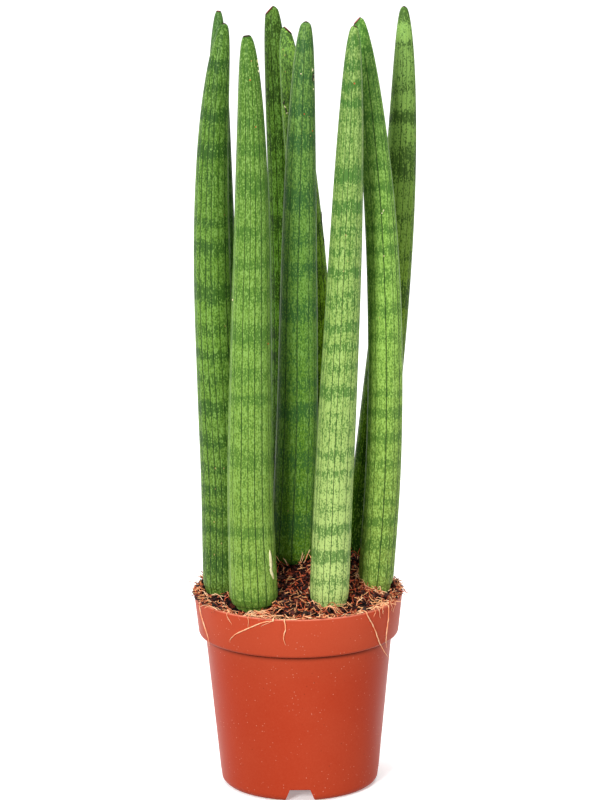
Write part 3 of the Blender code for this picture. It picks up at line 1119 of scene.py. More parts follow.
@dataclass
class RootBall:
    """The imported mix, with the loose bark and fibres that lie on it.

    Attributes:
        pot: The pot that holds it.
        leaves: The leaves that stand in it.
        seed: Number that settles every random choice.
        TANGLES: Bearing, spread in degrees and count of the fibres along the lip.
        FRINGES: The same for the stiff fibres that stick out over it.
        STANDING: Bearing round the centre leaf and heading, in degrees, of the tall fibres.
        LIFTS: Heights over the lip where the leaves' places are read.
        edge_length: Usual length of an edge of the rough top.
        relief: Depth of the roughness.
        collar, collar_width: Height and width of the mix pushed up round a leaf.
        gutter: Width along the lip that bits keep off, except on the heaps.
        lip_inset: How far inside the lip's inner edge the mix already counts as lip.
        lip_margin, foot_margin: Distance that fibres keep from the lip and from a leaf.
        top_depth: How far below the lip the faces of the rough top can lie.
        sunk: Depth of the mix below the lip where its surface isn't found.
        foot_gap: Least distance from a leaf at which a fibre starts.
    """

    TANGLES: ClassVar = ((-108.0, 8.0, 34), (-84.0, 8.0, 6), (-68.0, 7.0, 20),
                         (-34.0, 9.0, 30), (-148.0, 12.0, 12))
    FRINGES: ClassVar = ((176.0, 9.0, 20), (-2.0, 8.0, 20), (-30.0, 9.0, 22),
                         (-150.0, 9.0, 12))
    STANDING: ClassVar = ((-130.0, 110.0), (-114.0, 150.0), (-104.0, 60.0), (-72.0, 10.0),
                          (-56.0, 50.0), (-64.0, 100.0))
    LIFTS: ClassVar = (-0.004, 0.006, 0.018)

    pot: NurseryPot
    leaves: Sequence[Leaf]
    seed: int = 41
    edge_length: float = 0.0014
    relief: float = 0.0026
    collar: float = 0.0011
    collar_width: float = 0.0032
    gutter: float = 0.0034
    lip_inset: float = 0.0006
    lip_margin: float = 0.0010
    foot_margin: float = 0.0009
    top_depth: float = 0.009
    sunk: float = 0.004
    foot_gap: float = 0.0004

    def __post_init__(self) -> None:
        """Read where the leaves stand and start the random numbers."""
        self.draw = random.Random(self.seed)
        self.feet = []
        for leaf in self.leaves:
            rows = leaf.spine()
            levels = [self.pot.height + lift for lift in self.LIFTS]
            self.feet.append([tuple(np.interp(level, rows[:, 2], rows[:, column])
                                    for column in (0, 1, 3)) for level in levels])
        self.surface: BVHTree | None = None

    def clearance(self, x: float, y: float, margin: float = 0.0) -> float:
        """Return the distance to the nearest leaf, less a margin."""
        return min(math.hypot(x - foot[0], y - foot[1]) - foot[2]
                   for feet in self.feet for foot in feet) - margin

    def keep_clear(self, point: Vector, margin: float) -> Vector:
        """Push a point sideways out of any leaf.

        Args:
            point: The point.
            margin: Distance to keep.

        Returns:
            The same point or the nearest one outside.
        """
        lift = point.z - self.pot.height
        for feet in self.feet:
            column = [np.interp(lift, self.LIFTS, [foot[part] for foot in feet])
                      for part in range(3)]
            away = Vector((point.x - column[0], point.y - column[1], 0.0))
            short = column[2] + margin - away.length
            if short > 0.0 and away.length > 0.0:
                point = point + away.normalized() * short
        return point

    def level(self, x: float, y: float) -> float:
        """Return the height of the mix, or of the lip outside it, under a point."""
        reach = math.hypot(x, y)
        if reach > self.pot.mouth_radius - self.lip_inset:
            return self.pot.height
        hit = self.surface.ray_cast(Vector((x, y, ABOVE_ALL)), Vector((0.0, 0.0, -1.0)))[0]
        return hit.z if hit else self.pot.height - self.sunk

    def drape(self, x: float, y: float) -> float:
        """Return the height of a fibre there: on the mix, against the lip or past it."""
        reach = math.hypot(x, y)
        inner = self.pot.mouth_radius - self.lip_margin
        if reach > inner:
            return self.pot.height - 1.2 * max(reach - self.pot.rim_radius, 0.0)
        return max(self.level(x, y), self.pot.height - 2.0 * (inner - reach))

    def roughness_at(self, x: float, y: float) -> float:
        """Return how far the surface stands off the smooth mix at a point."""
        coarse = noise.noise(Vector((x * 190.0, y * 190.0, 3.1)))
        medium = noise.noise(Vector((x * 420.0, y * 420.0, 7.7)))
        fine = noise.noise(Vector((x * 950.0, y * 950.0, 1.3)))
        return self.relief * (coarse * 0.7 + medium * 0.6 + fine * 0.4)

    def build_ground(self) -> bpy.types.Object:
        """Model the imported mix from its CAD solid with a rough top.

        Returns:
            The piece, which stands for its CAD node.
        """
        bm = bmesh.new()
        bm.from_mesh(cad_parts["potting_mix"].data)
        bmesh.ops.remove_doubles(bm, verts=bm.verts, dist=WELD)
        floor_of_top = self.pot.height - self.top_depth
        for _ in range(5):
            top = {edge for face in bm.faces
                   if face.normal.z > 0.4 and face.calc_center_median().z > floor_of_top
                   for edge in face.edges}
            long_edges = [edge for edge in top if edge.calc_length() > self.edge_length * 1.5]
            if not long_edges:
                break
            bmesh.ops.subdivide_edges(bm, edges=sorted(long_edges, key=lambda edge: edge.index),
                                      cuts=1, use_grid_fill=True)
            bmesh.ops.triangulate(bm, faces=[face for face in bm.faces if len(face.verts) > 3])
            bm.edges.index_update()
            bm.normal_update()
        top = {vert for face in bm.faces
               if face.normal.z > 0.4 and face.calc_center_median().z > floor_of_top
               for vert in face.verts}
        for vert in top:
            reach = math.hypot(vert.co.x, vert.co.y) / self.pot.mouth_radius
            hold = 1.0 - smooth_share(reach, 0.93, 0.995)
            vert.co.z += self.roughness_at(vert.co.x, vert.co.y) * hold
            near = max(self.clearance(vert.co.x, vert.co.y), 0.0) / self.collar_width
            vert.co.z += self.collar * math.exp(-near * near) * hold
            vert.co = self.keep_clear(vert.co, 0.0)
        bm.normal_update()
        self.surface = BVHTree.FromBMesh(bm)
        piece = show("packed_mix", mesh_of("packed_mix", bm, 60.0), BarkFinish().ground())
        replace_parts(piece, "potting_mix")
        return piece

    def chip(self, flat: float) -> bpy.types.Mesh:
        """Make one broken chip of unit size.

        Args:
            flat: Its thickness as a share of its width.

        Returns:
            A small mesh.
        """
        bm = bmesh.new()
        bmesh.ops.create_icosphere(bm, subdivisions=1, radius=1.0)
        for vert in bm.verts:
            vert.co *= self.draw.uniform(0.62, 1.18)
            vert.co.z *= flat
        return self.template(bm)

    def shred(self, bend: float) -> bpy.types.Mesh:
        """Make one short bent fibre of unit length and unit thickness.

        Args:
            bend: How far its middle stands off the straight line between its ends.

        Returns:
            A small mesh.
        """
        bm = bmesh.new()
        bmesh.ops.create_cone(bm, cap_ends=True, segments=4, radius1=1.0, radius2=0.45,
                              depth=2.0, matrix=Matrix.Rotation(math.pi / 2, 4, "Y"))
        long_edges = [edge for edge in bm.edges if edge.calc_length() > 1.9]
        bmesh.ops.subdivide_edges(bm, edges=long_edges, cuts=3)
        kink = self.draw.uniform(-0.5, 0.5)
        for vert in bm.verts:
            along = vert.co.x
            vert.co.y += bend * (1.0 - along * along) + bend * kink * math.sin(3.0 * along)
            vert.co.z += bend * 0.4 * math.cos(2.2 * along + kink)
        return self.template(bm)

    def template(self, bm: bmesh.types.BMesh) -> bpy.types.Mesh:
        """Turn a bmesh into a small mesh with room for a tone."""
        bm.loops.layers.uv.new("tone")
        return plain_mesh("template", bm)

    def scatter(self, bm: bmesh.types.BMesh, templates: Sequence[bpy.types.Mesh],
                count: int, litter: Litter, where: Callable[[], tuple[float, float]]) -> None:
        """Drop bits on the mix.

        Args:
            bm: The mesh that takes them.
            templates: The shapes to choose from.
            count: How many to drop.
            litter: Their sizes, tones and attitude.
            where: Draws a place.
        """
        draw = self.draw
        dropped = tries = 0
        while dropped < count and tries < count * 6:
            tries += 1
            x, y = where()
            size = draw.uniform(*litter.length)
            if self.clearance(x, y, size * litter.standoff) < 0.0:
                continue
            width = draw.uniform(*litter.width)
            if litter.in_step:
                width *= size
            tilt = Matrix.Rotation(draw.gauss(0.0, litter.tumble), 4, "Y")
            roll = Matrix.Rotation(draw.uniform(-math.pi, math.pi) * litter.roll, 4, "X")
            turn = Matrix.Rotation(draw.uniform(0.0, math.tau), 4, "Z")
            lift = width * 0.4 + draw.uniform(*litter.lift)
            place = Matrix.Translation((x, y, self.level(x, y) + lift))
            shape = draw.choice(templates).copy()
            shape.transform(place @ turn @ tilt @ roll @ Matrix.Diagonal((size, width, width, 1)))
            mark = (draw.triangular(*litter.tone), draw.random())
            shape.uv_layers[0].data.foreach_set("uv", mark * len(shape.loops))
            bm.from_mesh(shape)
            bpy.data.meshes.remove(shape)
            dropped += 1

    def anywhere(self) -> tuple[float, float]:
        """Draw a place anywhere on the mix."""
        reach = (self.pot.mouth_radius - self.gutter) * math.sqrt(self.draw.random())
        bearing = self.draw.uniform(0.0, math.tau)
        return around(reach, bearing)

    def on_heap(self, bearing: float, spread: float, reach: float,
                depth: float) -> Callable[[], tuple[float, float]]:
        """Return a way to draw places on a heap at the rim.

        Args:
            bearing: Where the heap is, in degrees from +X.
            spread: Its half width in degrees.
            reach: How far out its middle lies.
            depth: Its half depth towards the middle.

        Returns:
            The function that draws.
        """
        def place() -> tuple[float, float]:
            """Draw one place."""
            turn = math.radians(bearing + self.draw.gauss(0.0, spread))
            out = min(reach + self.draw.gauss(0.0, depth), self.pot.rim_radius - 0.0004)
            return around(out, turn)

        return place

    def build_litter(self) -> None:
        """Model the loose bark, crumbs and short fibres, with the heaps at the rim."""
        flakes = [self.chip(0.45) for _ in range(9)]
        lumps = [self.chip(0.95) for _ in range(7)]
        shreds = [self.shred(bend) for bend in (-0.9, -0.4, 0.2, 0.5, 1.1, 1.8, -1.6, 0.0)]
        left = self.on_heap(bearing=172.0, spread=12.0, reach=0.0560, depth=0.0036)
        right = self.on_heap(bearing=4.0, spread=12.0, reach=0.0565, depth=0.0030)
        middle = self.on_heap(bearing=-82.0, spread=16.0, reach=0.0330, depth=0.0080)
        spill = self.on_heap(bearing=-164.0, spread=8.0, reach=0.0588, depth=0.0016)
        looks = BarkFinish().loose()
        # The counts are for the whole mix, then for each heap in the order above.
        for name, templates, litter, counts in (
                ("bark_flakes", flakes, FLAKES, (110, 8, 10, 60, 2)),
                ("bark_crumbs", lumps, CRUMBS, (800, 90, 60, 60, 30)),
                ("peat_shreds", shreds, PEAT, (1000, 190, 110, 60, 60)),
                ("coir_shreds", shreds, SHREDS, (480, 70, 52, 22, 34)),
                ("coir_splinters", shreds, SPLINTERS, (250, 22, 26, 10, 12))):
            bm = bmesh.new()
            for count, where in zip(counts, (self.anywhere, left, right, middle, spill)):
                self.scatter(bm, templates, count, litter, where)
            show(name, plain_mesh(name, bm), looks)
        for template in flakes + lumps + shreds:
            bpy.data.meshes.remove(template)

    def wander(self, x: float, y: float, heading: float, length: float, curl: float,
               hump: float) -> list[Vector]:
        """Lay one fibre over the mix.

        Args:
            x, y: Where it starts.
            heading: Its first direction in radians.
            length: Its length.
            curl: How sharply it turns, in radians to the step.
            hump: How high it stands off the mix half way.

        Returns:
            The points of its route.
        """
        count = max(int(length / FIBRE_STEP), 4)
        bend = self.draw.uniform(-curl, curl)
        points = []
        for index in range(count + 1):
            share = index / count
            lift = 0.0004 + hump * math.sin(math.pi * share) + self.draw.uniform(0.0, 0.00025)
            spot = self.keep_clear(Vector((x, y, self.drape(x, y) + lift)), self.foot_margin)
            points.append(spot)
            bend += self.draw.uniform(-curl, curl) * 0.45
            bend = max(-curl * 1.6, min(curl * 1.6, bend))
            heading += bend
            if self.draw.random() < 0.10:
                heading += self.draw.choice((-1.0, 1.0)) * self.draw.uniform(0.5, 1.1)
            x = spot.x + FIBRE_STEP * math.cos(heading)
            y = spot.y + FIBRE_STEP * math.sin(heading)
            limit = self.pot.rim_radius + 0.0002
            reach = math.hypot(x, y)
            if reach > limit:
                x, y = x * limit / reach, y * limit / reach
        return points

    def stray(self, x: float, y: float, heading: float, climb: float,
              length: float) -> list[Vector]:
        """Let one stiff fibre stand off the mix.

        Args:
            x, y: Where it is rooted.
            heading: Its direction in radians.
            climb: How steeply it rises, in radians.
            length: Its length.

        Returns:
            The points of its route.
        """
        count = 9
        turn = self.draw.uniform(-0.22, 0.22)
        sag = self.draw.uniform(0.0, 0.16)
        spot = Vector((x, y, self.level(x, y) - 0.0004))
        points = [spot]
        for index in range(count):
            if index == 4:
                heading += self.draw.uniform(-0.7, 0.7)
            flat = math.cos(climb) * length / count
            spot = spot + Vector((flat * math.cos(heading), flat * math.sin(heading),
                                  math.sin(climb) * length / count))
            spot = self.keep_clear(spot, self.foot_margin)
            spot.z = max(spot.z, self.drape(spot.x, spot.y) + 0.0003)
            points.append(spot)
            heading += turn
            climb -= sag
        return points

    def wreath(self, foot: Sequence[float], start: float, sweep: float,
               gap: float) -> list[Vector]:
        """Lay one fibre round the foot of a leaf.

        Args:
            foot: Centre and radius of the leaf where it meets the mix.
            start: Bearing where the fibre starts, in radians.
            sweep: How far round it runs, in radians.
            gap: Distance from the leaf.

        Returns:
            The points of its route.
        """
        count = max(int(abs(sweep) * foot[2] / FIBRE_STEP), 4)
        lift = self.draw.uniform(0.0004, 0.0020)
        wobble = self.draw.uniform(0.0, 20.0)
        points = []
        for index in range(count + 1):
            share = index / count
            turn = start + sweep * share
            bend = noise.noise(Vector((wobble, share * 4.0, 0.5)))
            reach = foot[2] + gap + 0.0022 * abs(bend) + 0.003 * (2.0 * share - 1.0) ** 4
            x, y = foot[0] + reach * math.cos(turn), foot[1] + reach * math.sin(turn)
            limit = self.pot.rim_radius - 0.0002
            out = max(math.hypot(x, y) / limit, 1.0)
            x, y = x / out, y / out
            spot = Vector((x, y, self.drape(x, y) + 0.0004
                           + lift * math.sin(math.pi * share) + 0.0010 * abs(bend)))
            points.append(self.keep_clear(spot, self.foot_margin))
        return points

    def lay(self, bundle: Strands, points: Sequence[Vector], low: float = 0.6,
            high: float = 1.3) -> None:
        """Add a strand to a bundle, with one drawn thickness and both ends thinned."""
        shares = [self.draw.uniform(low, high)] * len(points)
        shares[0] = shares[-1] = 0.3
        bundle.add(points, shares)

    def lay_curls(self, bundles: dict[Tone, Strands]) -> None:
        """Lay curled fibres all over the mix."""
        draw = self.draw
        for tone, count, curl in ((Tone.STRAW, 70, 0.16), (Tone.RUST, 90, 0.2),
                                  (Tone.UMBER, 60, 0.2)):
            for _ in range(count):
                x, y = self.anywhere()
                if self.clearance(x, y) < self.foot_gap:
                    continue
                points = self.wander(x, y, heading=draw.uniform(0.0, math.tau),
                                     length=draw.uniform(0.004, 0.014), curl=curl,
                                     hump=draw.uniform(0.0, 0.003))
                self.lay(bundles[tone], points)

    def lay_wreaths(self, bundles: dict[Tone, Strands]) -> None:
        """Lay fibres round the front of each leaf's foot, more on the leaves in front."""
        draw = self.draw
        for feet in self.feet:
            front = feet[0][1] < 0.0
            for tone, count in ((Tone.STRAW, 9 if front else 3), (Tone.RUST, 6)):
                for _ in range(count):
                    points = self.wreath(
                        feet[1], start=math.radians(draw.uniform(-185.0, -5.0)),
                        sweep=draw.choice((-1.0, 1.0)) * draw.uniform(0.35, 1.3),
                        gap=draw.uniform(0.0003, 0.0022))
                    self.lay(bundles[tone], points)

    def raise_strays(self, bundles: dict[Tone, Strands]) -> None:
        """Raise short stiff fibres all over the mix."""
        draw = self.draw
        for _ in range(120):
            x, y = self.anywhere()
            if self.clearance(x, y) < self.foot_gap * 1.5:
                continue
            tone = draw.choice((Tone.STRAW, Tone.RUST, Tone.UMBER))
            points = self.stray(x, y, heading=draw.uniform(0.0, math.tau),
                                climb=draw.uniform(0.4, 1.35),
                                length=draw.uniform(0.003, 0.0095))
            self.lay(bundles[tone], points, high=1.0)

    def raise_tall(self, bundle: Strands) -> None:
        """Raise the few tall pale fibres beside the centre leaf."""
        draw = self.draw
        centre = self.feet[[leaf.node for leaf in self.leaves].index("leaf_centre")][1]
        for bearing, heading in self.STANDING:
            side, back = around(centre[2] + draw.uniform(0.0012, 0.0026),
                                math.radians(bearing))
            points = self.stray(centre[0] + side, centre[1] + back,
                                heading=math.radians(heading), climb=1.35,
                                length=draw.uniform(0.008, 0.0115))
            self.lay(bundle, points, low=0.9)

    def lay_tangles(self, tangles: dict[Tone, Strands]) -> None:
        """Lay the fine roots that run along the lip."""
        draw = self.draw
        for middle, spread, count in self.TANGLES:
            for _ in range(count):
                bearing = math.radians(middle + draw.gauss(0.0, spread))
                x, y = around(draw.uniform(0.0535, 0.0600), bearing)
                if self.clearance(x, y) < self.foot_gap:
                    continue
                along = bearing + math.copysign(math.pi / 2, draw.random() - 0.5)
                points = self.wander(x, y, heading=along + draw.gauss(0.0, 0.5),
                                     length=draw.uniform(0.004, 0.016), curl=0.16,
                                     hump=draw.uniform(0.0, 0.002))
                self.lay(tangles[draw.choice((Tone.STRAW, Tone.STRAW, Tone.RUST))], points)

    def raise_fringes(self, tangles: dict[Tone, Strands]) -> None:
        """Raise the stiff fibres that stick out over the lip."""
        draw = self.draw
        for middle, spread, count in self.FRINGES:
            for _ in range(count):
                bearing = math.radians(middle + draw.gauss(0.0, spread))
                x, y = around(draw.uniform(0.0520, 0.0585), bearing)
                points = self.stray(x, y, heading=bearing + draw.gauss(0.0, 0.6),
                                    climb=draw.uniform(0.0, 0.7),
                                    length=draw.uniform(0.004, 0.0095))
                self.lay(tangles[draw.choice((Tone.STRAW, Tone.RUST))], points,
                         low=0.5, high=1.0)

    def build_fibres(self) -> None:
        """Model the loose fibres on the mix and the tangle at the rim."""
        bundles = {tone: Strands(f"mix_fibres_{tone.value}", thickness) for tone, thickness
                   in ((Tone.STRAW, 0.00024), (Tone.RUST, 0.00026), (Tone.UMBER, 0.00028))}
        self.lay_curls(bundles)
        self.lay_wreaths(bundles)
        self.raise_strays(bundles)
        self.raise_tall(bundles[Tone.STRAW])
        tangles = {tone: Strands(f"rim_tangle_{tone.value}", 0.00025)
                   for tone in (Tone.STRAW, Tone.RUST)}
        self.lay_tangles(tangles)
        self.raise_fringes(tangles)
        for group, slot in ((bundles, Slot.MIX), (tangles, Slot.ROOT)):
            for tone, bundle in group.items():
                bundle.build(tone, slot)

    def build(self) -> None:
        """Model and dress the mix and everything loose on it."""
        self.build_ground()
        self.build_litter()
        self.build_fibres()


@dataclass(frozen=True)
class Root:
    """A root that crosses the lip and hangs down the outside of the rim.

    Attributes:
        node: The CAD node that it stands for, or a name for a loose one.
        bearing: Where it crosses the lip, in degrees from the front towards +X.
        drift: How far it runs sideways along the rim.
        drop: How far it hangs.
        lead: Power of the sideways run.
        wave: Depth of its sideways bends.
        radius: Its thickness.
    """

    node: str
    bearing: float
    drift: float
    drop: float
    lead: float
    wave: float
    radius: float = 0.00045


@dataclass
class RimRoots:
    """The roots that hang over the rim.

    Attributes:
        pot: The pot whose rim they cross.
        mix: The mix that they come out of.
        tail, shoulder: How far inside the mouth they start and reach the lip's height.
        steps: Points down the outside.
        kink: Depth of the small sideways kinks.
        thin: Points over which the end tapers.
    """

    pot: NurseryPot
    mix: RootBall
    tail: float = 0.008
    shoulder: float = 0.003
    steps: int = 26
    kink: float = 0.0003
    thin: int = 10

    def rim_point(self, bearing: float, radius: float, height: float) -> Vector:
        """Return the point at a bearing in radians from the front towards +X."""
        return Vector((radius * math.sin(bearing), -radius * math.cos(bearing), height))

    def route(self, root: Root) -> list[Vector]:
        """Return the points that a root follows, from the mix to its end."""
        pot = self.pot
        lift = FIT_GAP + root.radius
        start = math.radians(root.bearing)
        points = []
        for radius, least in ((pot.mouth_radius - self.tail, 0.0),
                              (pot.mouth_radius - self.shoulder, pot.height),
                              (pot.mouth_radius + root.radius, pot.height)):
            spot = self.rim_point(start, radius, 0.0)
            spot.z = max(self.mix.level(spot.x, spot.y), least) + lift
            points.append(spot)
        points += [self.rim_point(start, radius, height) for radius, height in
                   pot.arc(pot.rim_radius - pot.lip_round, pot.height - pot.lip_round,
                           pot.lip_round + lift, 90, 0)]
        band = pot.band_height - pot.lip_round - pot.band_round
        for step in range(1, self.steps + 1):
            share = step / self.steps
            fall = root.drop * share
            radius = pot.rim_radius - pot.rim_taper * min(fall / band, 1.0) + lift
            side = root.drift * share ** root.lead + root.wave * math.sin(math.tau * share)
            side += self.kink * noise.noise(Vector((root.bearing, fall * 400.0, 0.0)))
            points.append(self.rim_point(start + side / pot.rim_radius, radius,
                                         pot.height - pot.lip_round - fall))
        return points

    def build(self, roots: Sequence[Root], wisps: Sequence[Root]) -> None:
        """Model and dress the roots.

        Args:
            roots: The long ones, each of which stands for its CAD node.
            wisps: The short loose ones.
        """
        for root in roots:
            strand = Strands(root.node + "_strand", root.radius)
            points = self.route(root)
            shares = [0.72 + 0.16 * noise.noise(point * 900.0) for point in points]
            for index in range(self.thin):
                shares[-1 - index] *= 0.25 + 0.75 * index / self.thin
            strand.add(points, shares)
            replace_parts(strand.build(Tone.STRAW, Slot.ROOT, 2), root.node)
        bundle = Strands("rim_wisps", WISP_RADIUS)
        for wisp in wisps:
            points = self.route(wisp)
            bundle.add(points, [1.0 - 0.7 * (index / len(points)) ** 2
                                for index in range(len(points))])
        bundle.build(Tone.STRAW, Slot.ROOT)


@dataclass
class Studio:
    """The floor, the soft lights and the camera.

    Attributes:
        distance, eye_height, sideways: Place of the camera in front of the pot's axis.
        pitch, roll: How far it looks down and how far it leans, in degrees.
        lens: Its focal length in millimetres.
        aim_height: Height that the lights face.
        sky, haze: Strength of the overhead light and of the light all round.
        glow: Strength of the floor's own light.
    """

    distance: float = 2.0
    eye_height: float = 0.6744
    pitch: float = 12.59
    lens: float = 160.2
    sideways: float = 0.00195
    roll: float = -0.5
    aim_height: float = 0.2
    sky: float = 2.55
    haze: float = 0.36
    glow: float = 0.3

    def build(self) -> None:
        """Set up the floor, the light and the camera."""
        self.build_floor()
        self.build_light()
        self.build_camera()

    def build_floor(self) -> None:
        """Lay a pale floor with a faint glow, which throws no soft light on the plant."""
        bm = bmesh.new()
        bmesh.ops.create_grid(bm, x_segments=1, y_segments=1, size=40.0)
        mesh = plain_mesh("floor", bm)
        floor = add_object("floor", mesh)
        graph = Graph("floor", roughness=0.9, specular=0.1)
        graph.shader.inputs["Base Color"].default_value = (0.93, 0.93, 0.93, 1.0)
        graph.shader.inputs["Emission Color"].default_value = (1.0, 1.0, 1.0, 1.0)
        graph.shader.inputs["Emission Strength"].default_value = self.glow
        mesh.materials.append(graph.material)
        floor.visible_diffuse = False

    def softbox(self, name: str, place: Sequence[float], power: float,
                size: float) -> None:
        """Hang one square light that faces the plant.

        Args:
            name: Its name.
            place: Where it hangs.
            power: Its power in watts.
            size: Its side.
        """
        data = bpy.data.lights.new(name, "AREA")
        data.energy = power
        data.size = size
        lamp = add_object(name, data)
        lamp.location = place
        aim = Vector((0.0, 0.0, self.aim_height)) - Vector(place)
        lamp.rotation_euler = aim.to_track_quat("-Z", "Y").to_euler()

    def build_light(self) -> None:
        """Light the plant softly from both sides, the front and all round."""
        world = bpy.data.worlds.new("studio")
        world.use_nodes = True
        background = world.node_tree.nodes["Background"]
        background.inputs["Color"].default_value = (1.0, 1.0, 1.0, 1.0)
        background.inputs["Strength"].default_value = self.haze
        bpy.context.scene.world = world
        sky = bpy.data.lights.new("overhead_light", "SUN")
        sky.energy = self.sky
        sky.angle = math.radians(50.0)
        add_object("overhead_light", sky)
        self.softbox("front_softbox", (-0.75, -1.75, 0.92), 36.0, 0.5)
        self.softbox("rim_softbox", (-1.5, 0.8, 0.75), 9.0, 0.9)
        self.softbox("low_softbox", (0.9, -0.6, 0.12), 3.3, 0.3)
        bpy.context.scene.view_settings.view_transform = "Standard"

    def build_camera(self) -> None:
        """Place the camera in front of the plant, looking a little down."""
        data = bpy.data.cameras.new("camera")
        data.lens = self.lens
        data.sensor_width = 36.0
        data.clip_start = 0.05
        data.clip_end = 200.0
        camera = add_object("camera", data)
        camera.location = (self.sideways, -self.distance, self.eye_height)
        facing = Matrix.Rotation(math.radians(90.0 - self.pitch), 3, "X")
        roll = Matrix.Rotation(math.radians(self.roll), 3, "Z")
        camera.rotation_euler = (facing @ roll).to_euler()
        bpy.context.scene.camera = camera


LEAVES = (
    Leaf("leaf_far_left", Slot.DARK_LEAF,
         LeafSkin(paint(0.27, 0.42, 0.15), paint(0.30, 0.46, 0.17), paint(0.31, 0.46, 0.20),
                  paint(0.13, 0.28, 0.10), 0.6, 0.6, 0.8, 0.018, 3.0,
                  scar=paint(0.72, 0.36, 0.33)),
         16, 10.0, 60.0, (0.0, 6.0, 0.0003), dome=0.4),
    Leaf("leaf_left", Slot.MID_LEAF,
         LeafSkin(paint(0.346, 0.457, 0.162), paint(0.414, 0.569, 0.201), paint(0.313, 0.462, 0.153),
                  paint(0.12, 0.28, 0.09), 0.65, 0.66, 0.95, 0.0165, 11.0),
         16, -65.0, 12.0, None, 0.5),
    Leaf("leaf_front_left", Slot.MID_LEAF,
         LeafSkin(paint(0.498, 0.616, 0.252), paint(0.453, 0.600, 0.237), paint(0.327, 0.476, 0.164),
                  paint(0.19, 0.37, 0.11), 0.5, 0.62, 0.95, 0.020, 23.0,
                  scar=paint(0.28, 0.23, 0.12)),
         18, -93.0, 173.0, (180.0, 8.0, 0.0004), dome=0.4),
    Leaf("leaf_back", Slot.DARK_LEAF,
         LeafSkin(paint(0.352, 0.516, 0.091), paint(0.336, 0.509, 0.105), paint(0.331, 0.463, 0.171),
                  paint(0.06, 0.16, 0.03), 0.55, 0.65, 1.0, 0.021, 31.0, 0.05,
                  paint(0.60, 0.18, 0.17)),
         14, -90.0, 70.0, (180.0, 47.0, 0.0009)),
    Leaf("leaf_back_centre", Slot.DARK_LEAF,
         LeafSkin(paint(0.395, 0.546, 0.035), paint(0.531, 0.706, 0.143), paint(0.473, 0.642, 0.310),
                  paint(0.10, 0.23, 0.07), 0.5, 0.62, 1.0, 0.020, 43.0, 0.06,
                  paint(0.58, 0.12, 0.11)),
         16, 0.0, 165.0, (0.0, 42.0, 0.0006)),
    Leaf("leaf_centre", Slot.MID_LEAF,
         LeafSkin(paint(0.335, 0.486, 0.058), paint(0.396, 0.564, 0.196), paint(0.353, 0.489, 0.223),
                  paint(0.12, 0.32, 0.16), 0.52, 0.66, 1.0, 0.022, 59.0),
         12, -90.0, 166.0, None),
    Leaf("leaf_front_right", Slot.PALE_LEAF,
         LeafSkin(paint(0.708, 0.798, 0.472), paint(0.553, 0.673, 0.334), paint(0.441, 0.569, 0.273),
                  paint(0.22, 0.42, 0.15), 0.66, 0.74, 1.0, 0.0135, 67.0,
                  scar=paint(0.46, 0.30, 0.17)),
         18, -115.0, 4.0, (0.0, 24.0, 0.0001), 0.6),
    Leaf("leaf_right", Slot.PALE_LEAF,
         LeafSkin(paint(0.490, 0.580, 0.248), paint(0.534, 0.687, 0.284), paint(0.378, 0.562, 0.224),
                  paint(0.18, 0.38, 0.12), 0.5, 0.6, 1.0, 0.0132, 83.0,
                  scar=paint(0.80, 0.42, 0.38)),
         13, -91.0, 14.0, (180.0, 47.0, 0.0009), 0.5),
    Leaf("leaf_far_right", Slot.DARK_LEAF,
         LeafSkin(paint(0.165, 0.307, 0.014), paint(0.399, 0.531, 0.089), paint(0.566, 0.731, 0.373),
                  paint(0.12, 0.25, 0.06), 0.7, 0.72, 1.0, 0.024, 97.0, 0.06),
         15, -78.0, 60.0, None),
)

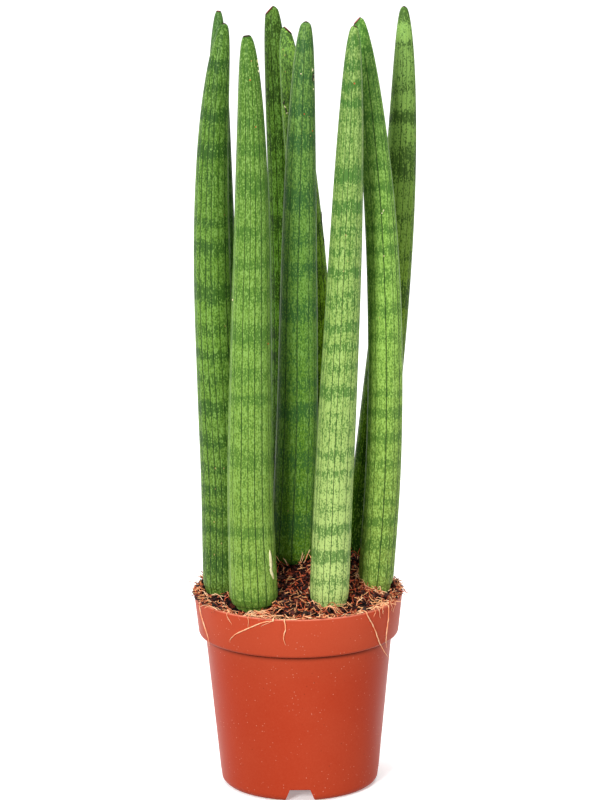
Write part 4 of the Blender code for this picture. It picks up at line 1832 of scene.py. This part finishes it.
SCARS = {
    "leaf_front_left": (
        Scar(Crust.CREAM, -21.0, 0.4275, 0.0022, 0.0010, 10.0),
        Scar(Crust.CREAM, -21.0, 0.4248, 0.0012, 0.0016),
        Scar(Crust.CREAM, -22.0, 0.4220, 0.0018, 0.0012, -15.0),
        Scar(Crust.AMBER, -84.0, 0.4176),
        Scar(Crust.AMBER, -68.0, 0.3916, 0.0007, 0.0006),
        Scar(Crust.CREAM, -154.0, 0.2932, 0.0014, 0.0012),
        Scar(Crust.AMBER, -30.0, 0.2680, 0.0008, 0.0010),
        Scar(Crust.CREAM, -39.0, 0.1412, 0.0140, 0.0025, -7.0),
        Scar(Crust.CREAM, -36.0, 0.1340, 0.0085, 0.0021, -26.0),
    ),
    "leaf_centre": (
        Scar(Crust.CREAM, -36.0, 0.4180, 0.0018, 0.0011, 20.0),
        Scar(Crust.CREAM, -28.0, 0.4152, 0.0012, 0.0016),
        Scar(Crust.CREAM, -26.0, 0.4127, 0.0020, 0.0010, -20.0),
        Scar(Crust.SOOT, -32.0, 0.4140, 0.0060, 0.0014, 8.0),
        Scar(Crust.CREAM, -29.0, 0.4071, 0.0010, 0.0008),
        Scar(Crust.CREAM, -102.0, 0.4163, 0.0009, 0.0010),
        Scar(Crust.AMBER, -80.0, 0.3935),
        Scar(Crust.AMBER, -39.0, 0.3835),
    ),
    "leaf_front_right": (
        Scar(Crust.AMBER, -81.0, 0.4153, 0.0010, 0.0010),
    ),
    "leaf_right": (
        Scar(Crust.CREAM, -78.0, 0.3399, 0.0016, 0.0007, 10.0),
        Scar(Crust.CREAM, -84.0, 0.3384, 0.0009, 0.0008),
        Scar(Crust.CREAM, -86.0, 0.3139, 0.0008, 0.0008),
    ),
    "leaf_back_centre": (
        Scar(Crust.SOOT, -141.0, 0.3964, 0.0030, 0.0012, 20.0),
        Scar(Crust.CREAM, -134.0, 0.3940, 0.0010, 0.0022, 30.0),
        Scar(Crust.SOOT, -129.0, 0.3922, 0.0030, 0.0012, -20.0),
        Scar(Crust.CREAM, -126.0, 0.3905, 0.0010, 0.0018, -30.0),
        Scar(Crust.SOOT, -16.0, 0.3270, 0.0120, 0.0012, 4.0),
        Scar(Crust.SOOT, -14.0, 0.3140, 0.0080, 0.0014, -6.0),
    ),
}

ROOTS = (
    Root("root_left", -68.5, 0.0083, 0.0235, 1.3, -0.001),
    Root("root_front_left", -13.5, -0.030, 0.0165, 0.6, 0.0012),
    Root("root_front", -7.5, 0.0, 0.0140, 1.0, 0.0006),
    Root("root_front_right", 39.5, 0.0235, 0.0320, 1.2, 0.0010),
    Root("root_right", 57.5, 0.0015, 0.0250, 1.0, 0.0006),
)

WISPS = tuple(Root("wisp", *values, WISP_RADIUS) for values in (
    (-28.0, 0.0, 0.006, 1.0, 0.0004),
    (-42.0, 0.003, 0.006, 1.0, -0.0005),
    (-14.0, -0.007, 0.004, 1.0, 0.0003),
    (46.0, -0.001, 0.003, 1.0, 0.0003),
    (49.0, 0.002, 0.005, 1.2, 0.0003),
    (52.0, 0.001, 0.003, 1.0, 0.0002),
    (61.0, 0.002, 0.004, 1.0, 0.0004),
    (66.0, -0.002, 0.005, 1.0, 0.0004),
))


def main() -> None:
    """Build the plant and the studio."""
    logging.basicConfig(level=logging.INFO, format="%(message)s")
    Studio().build()
    pot = NurseryPot()
    pot.build()
    for leaf in LEAVES:
        leaf.build()
    mix = RootBall(pot, LEAVES)
    mix.build()
    RimRoots(pot, mix).build(ROOTS, WISPS)
    Scars(LEAVES, SCARS).build()


if __name__ == "__main__":
    main()
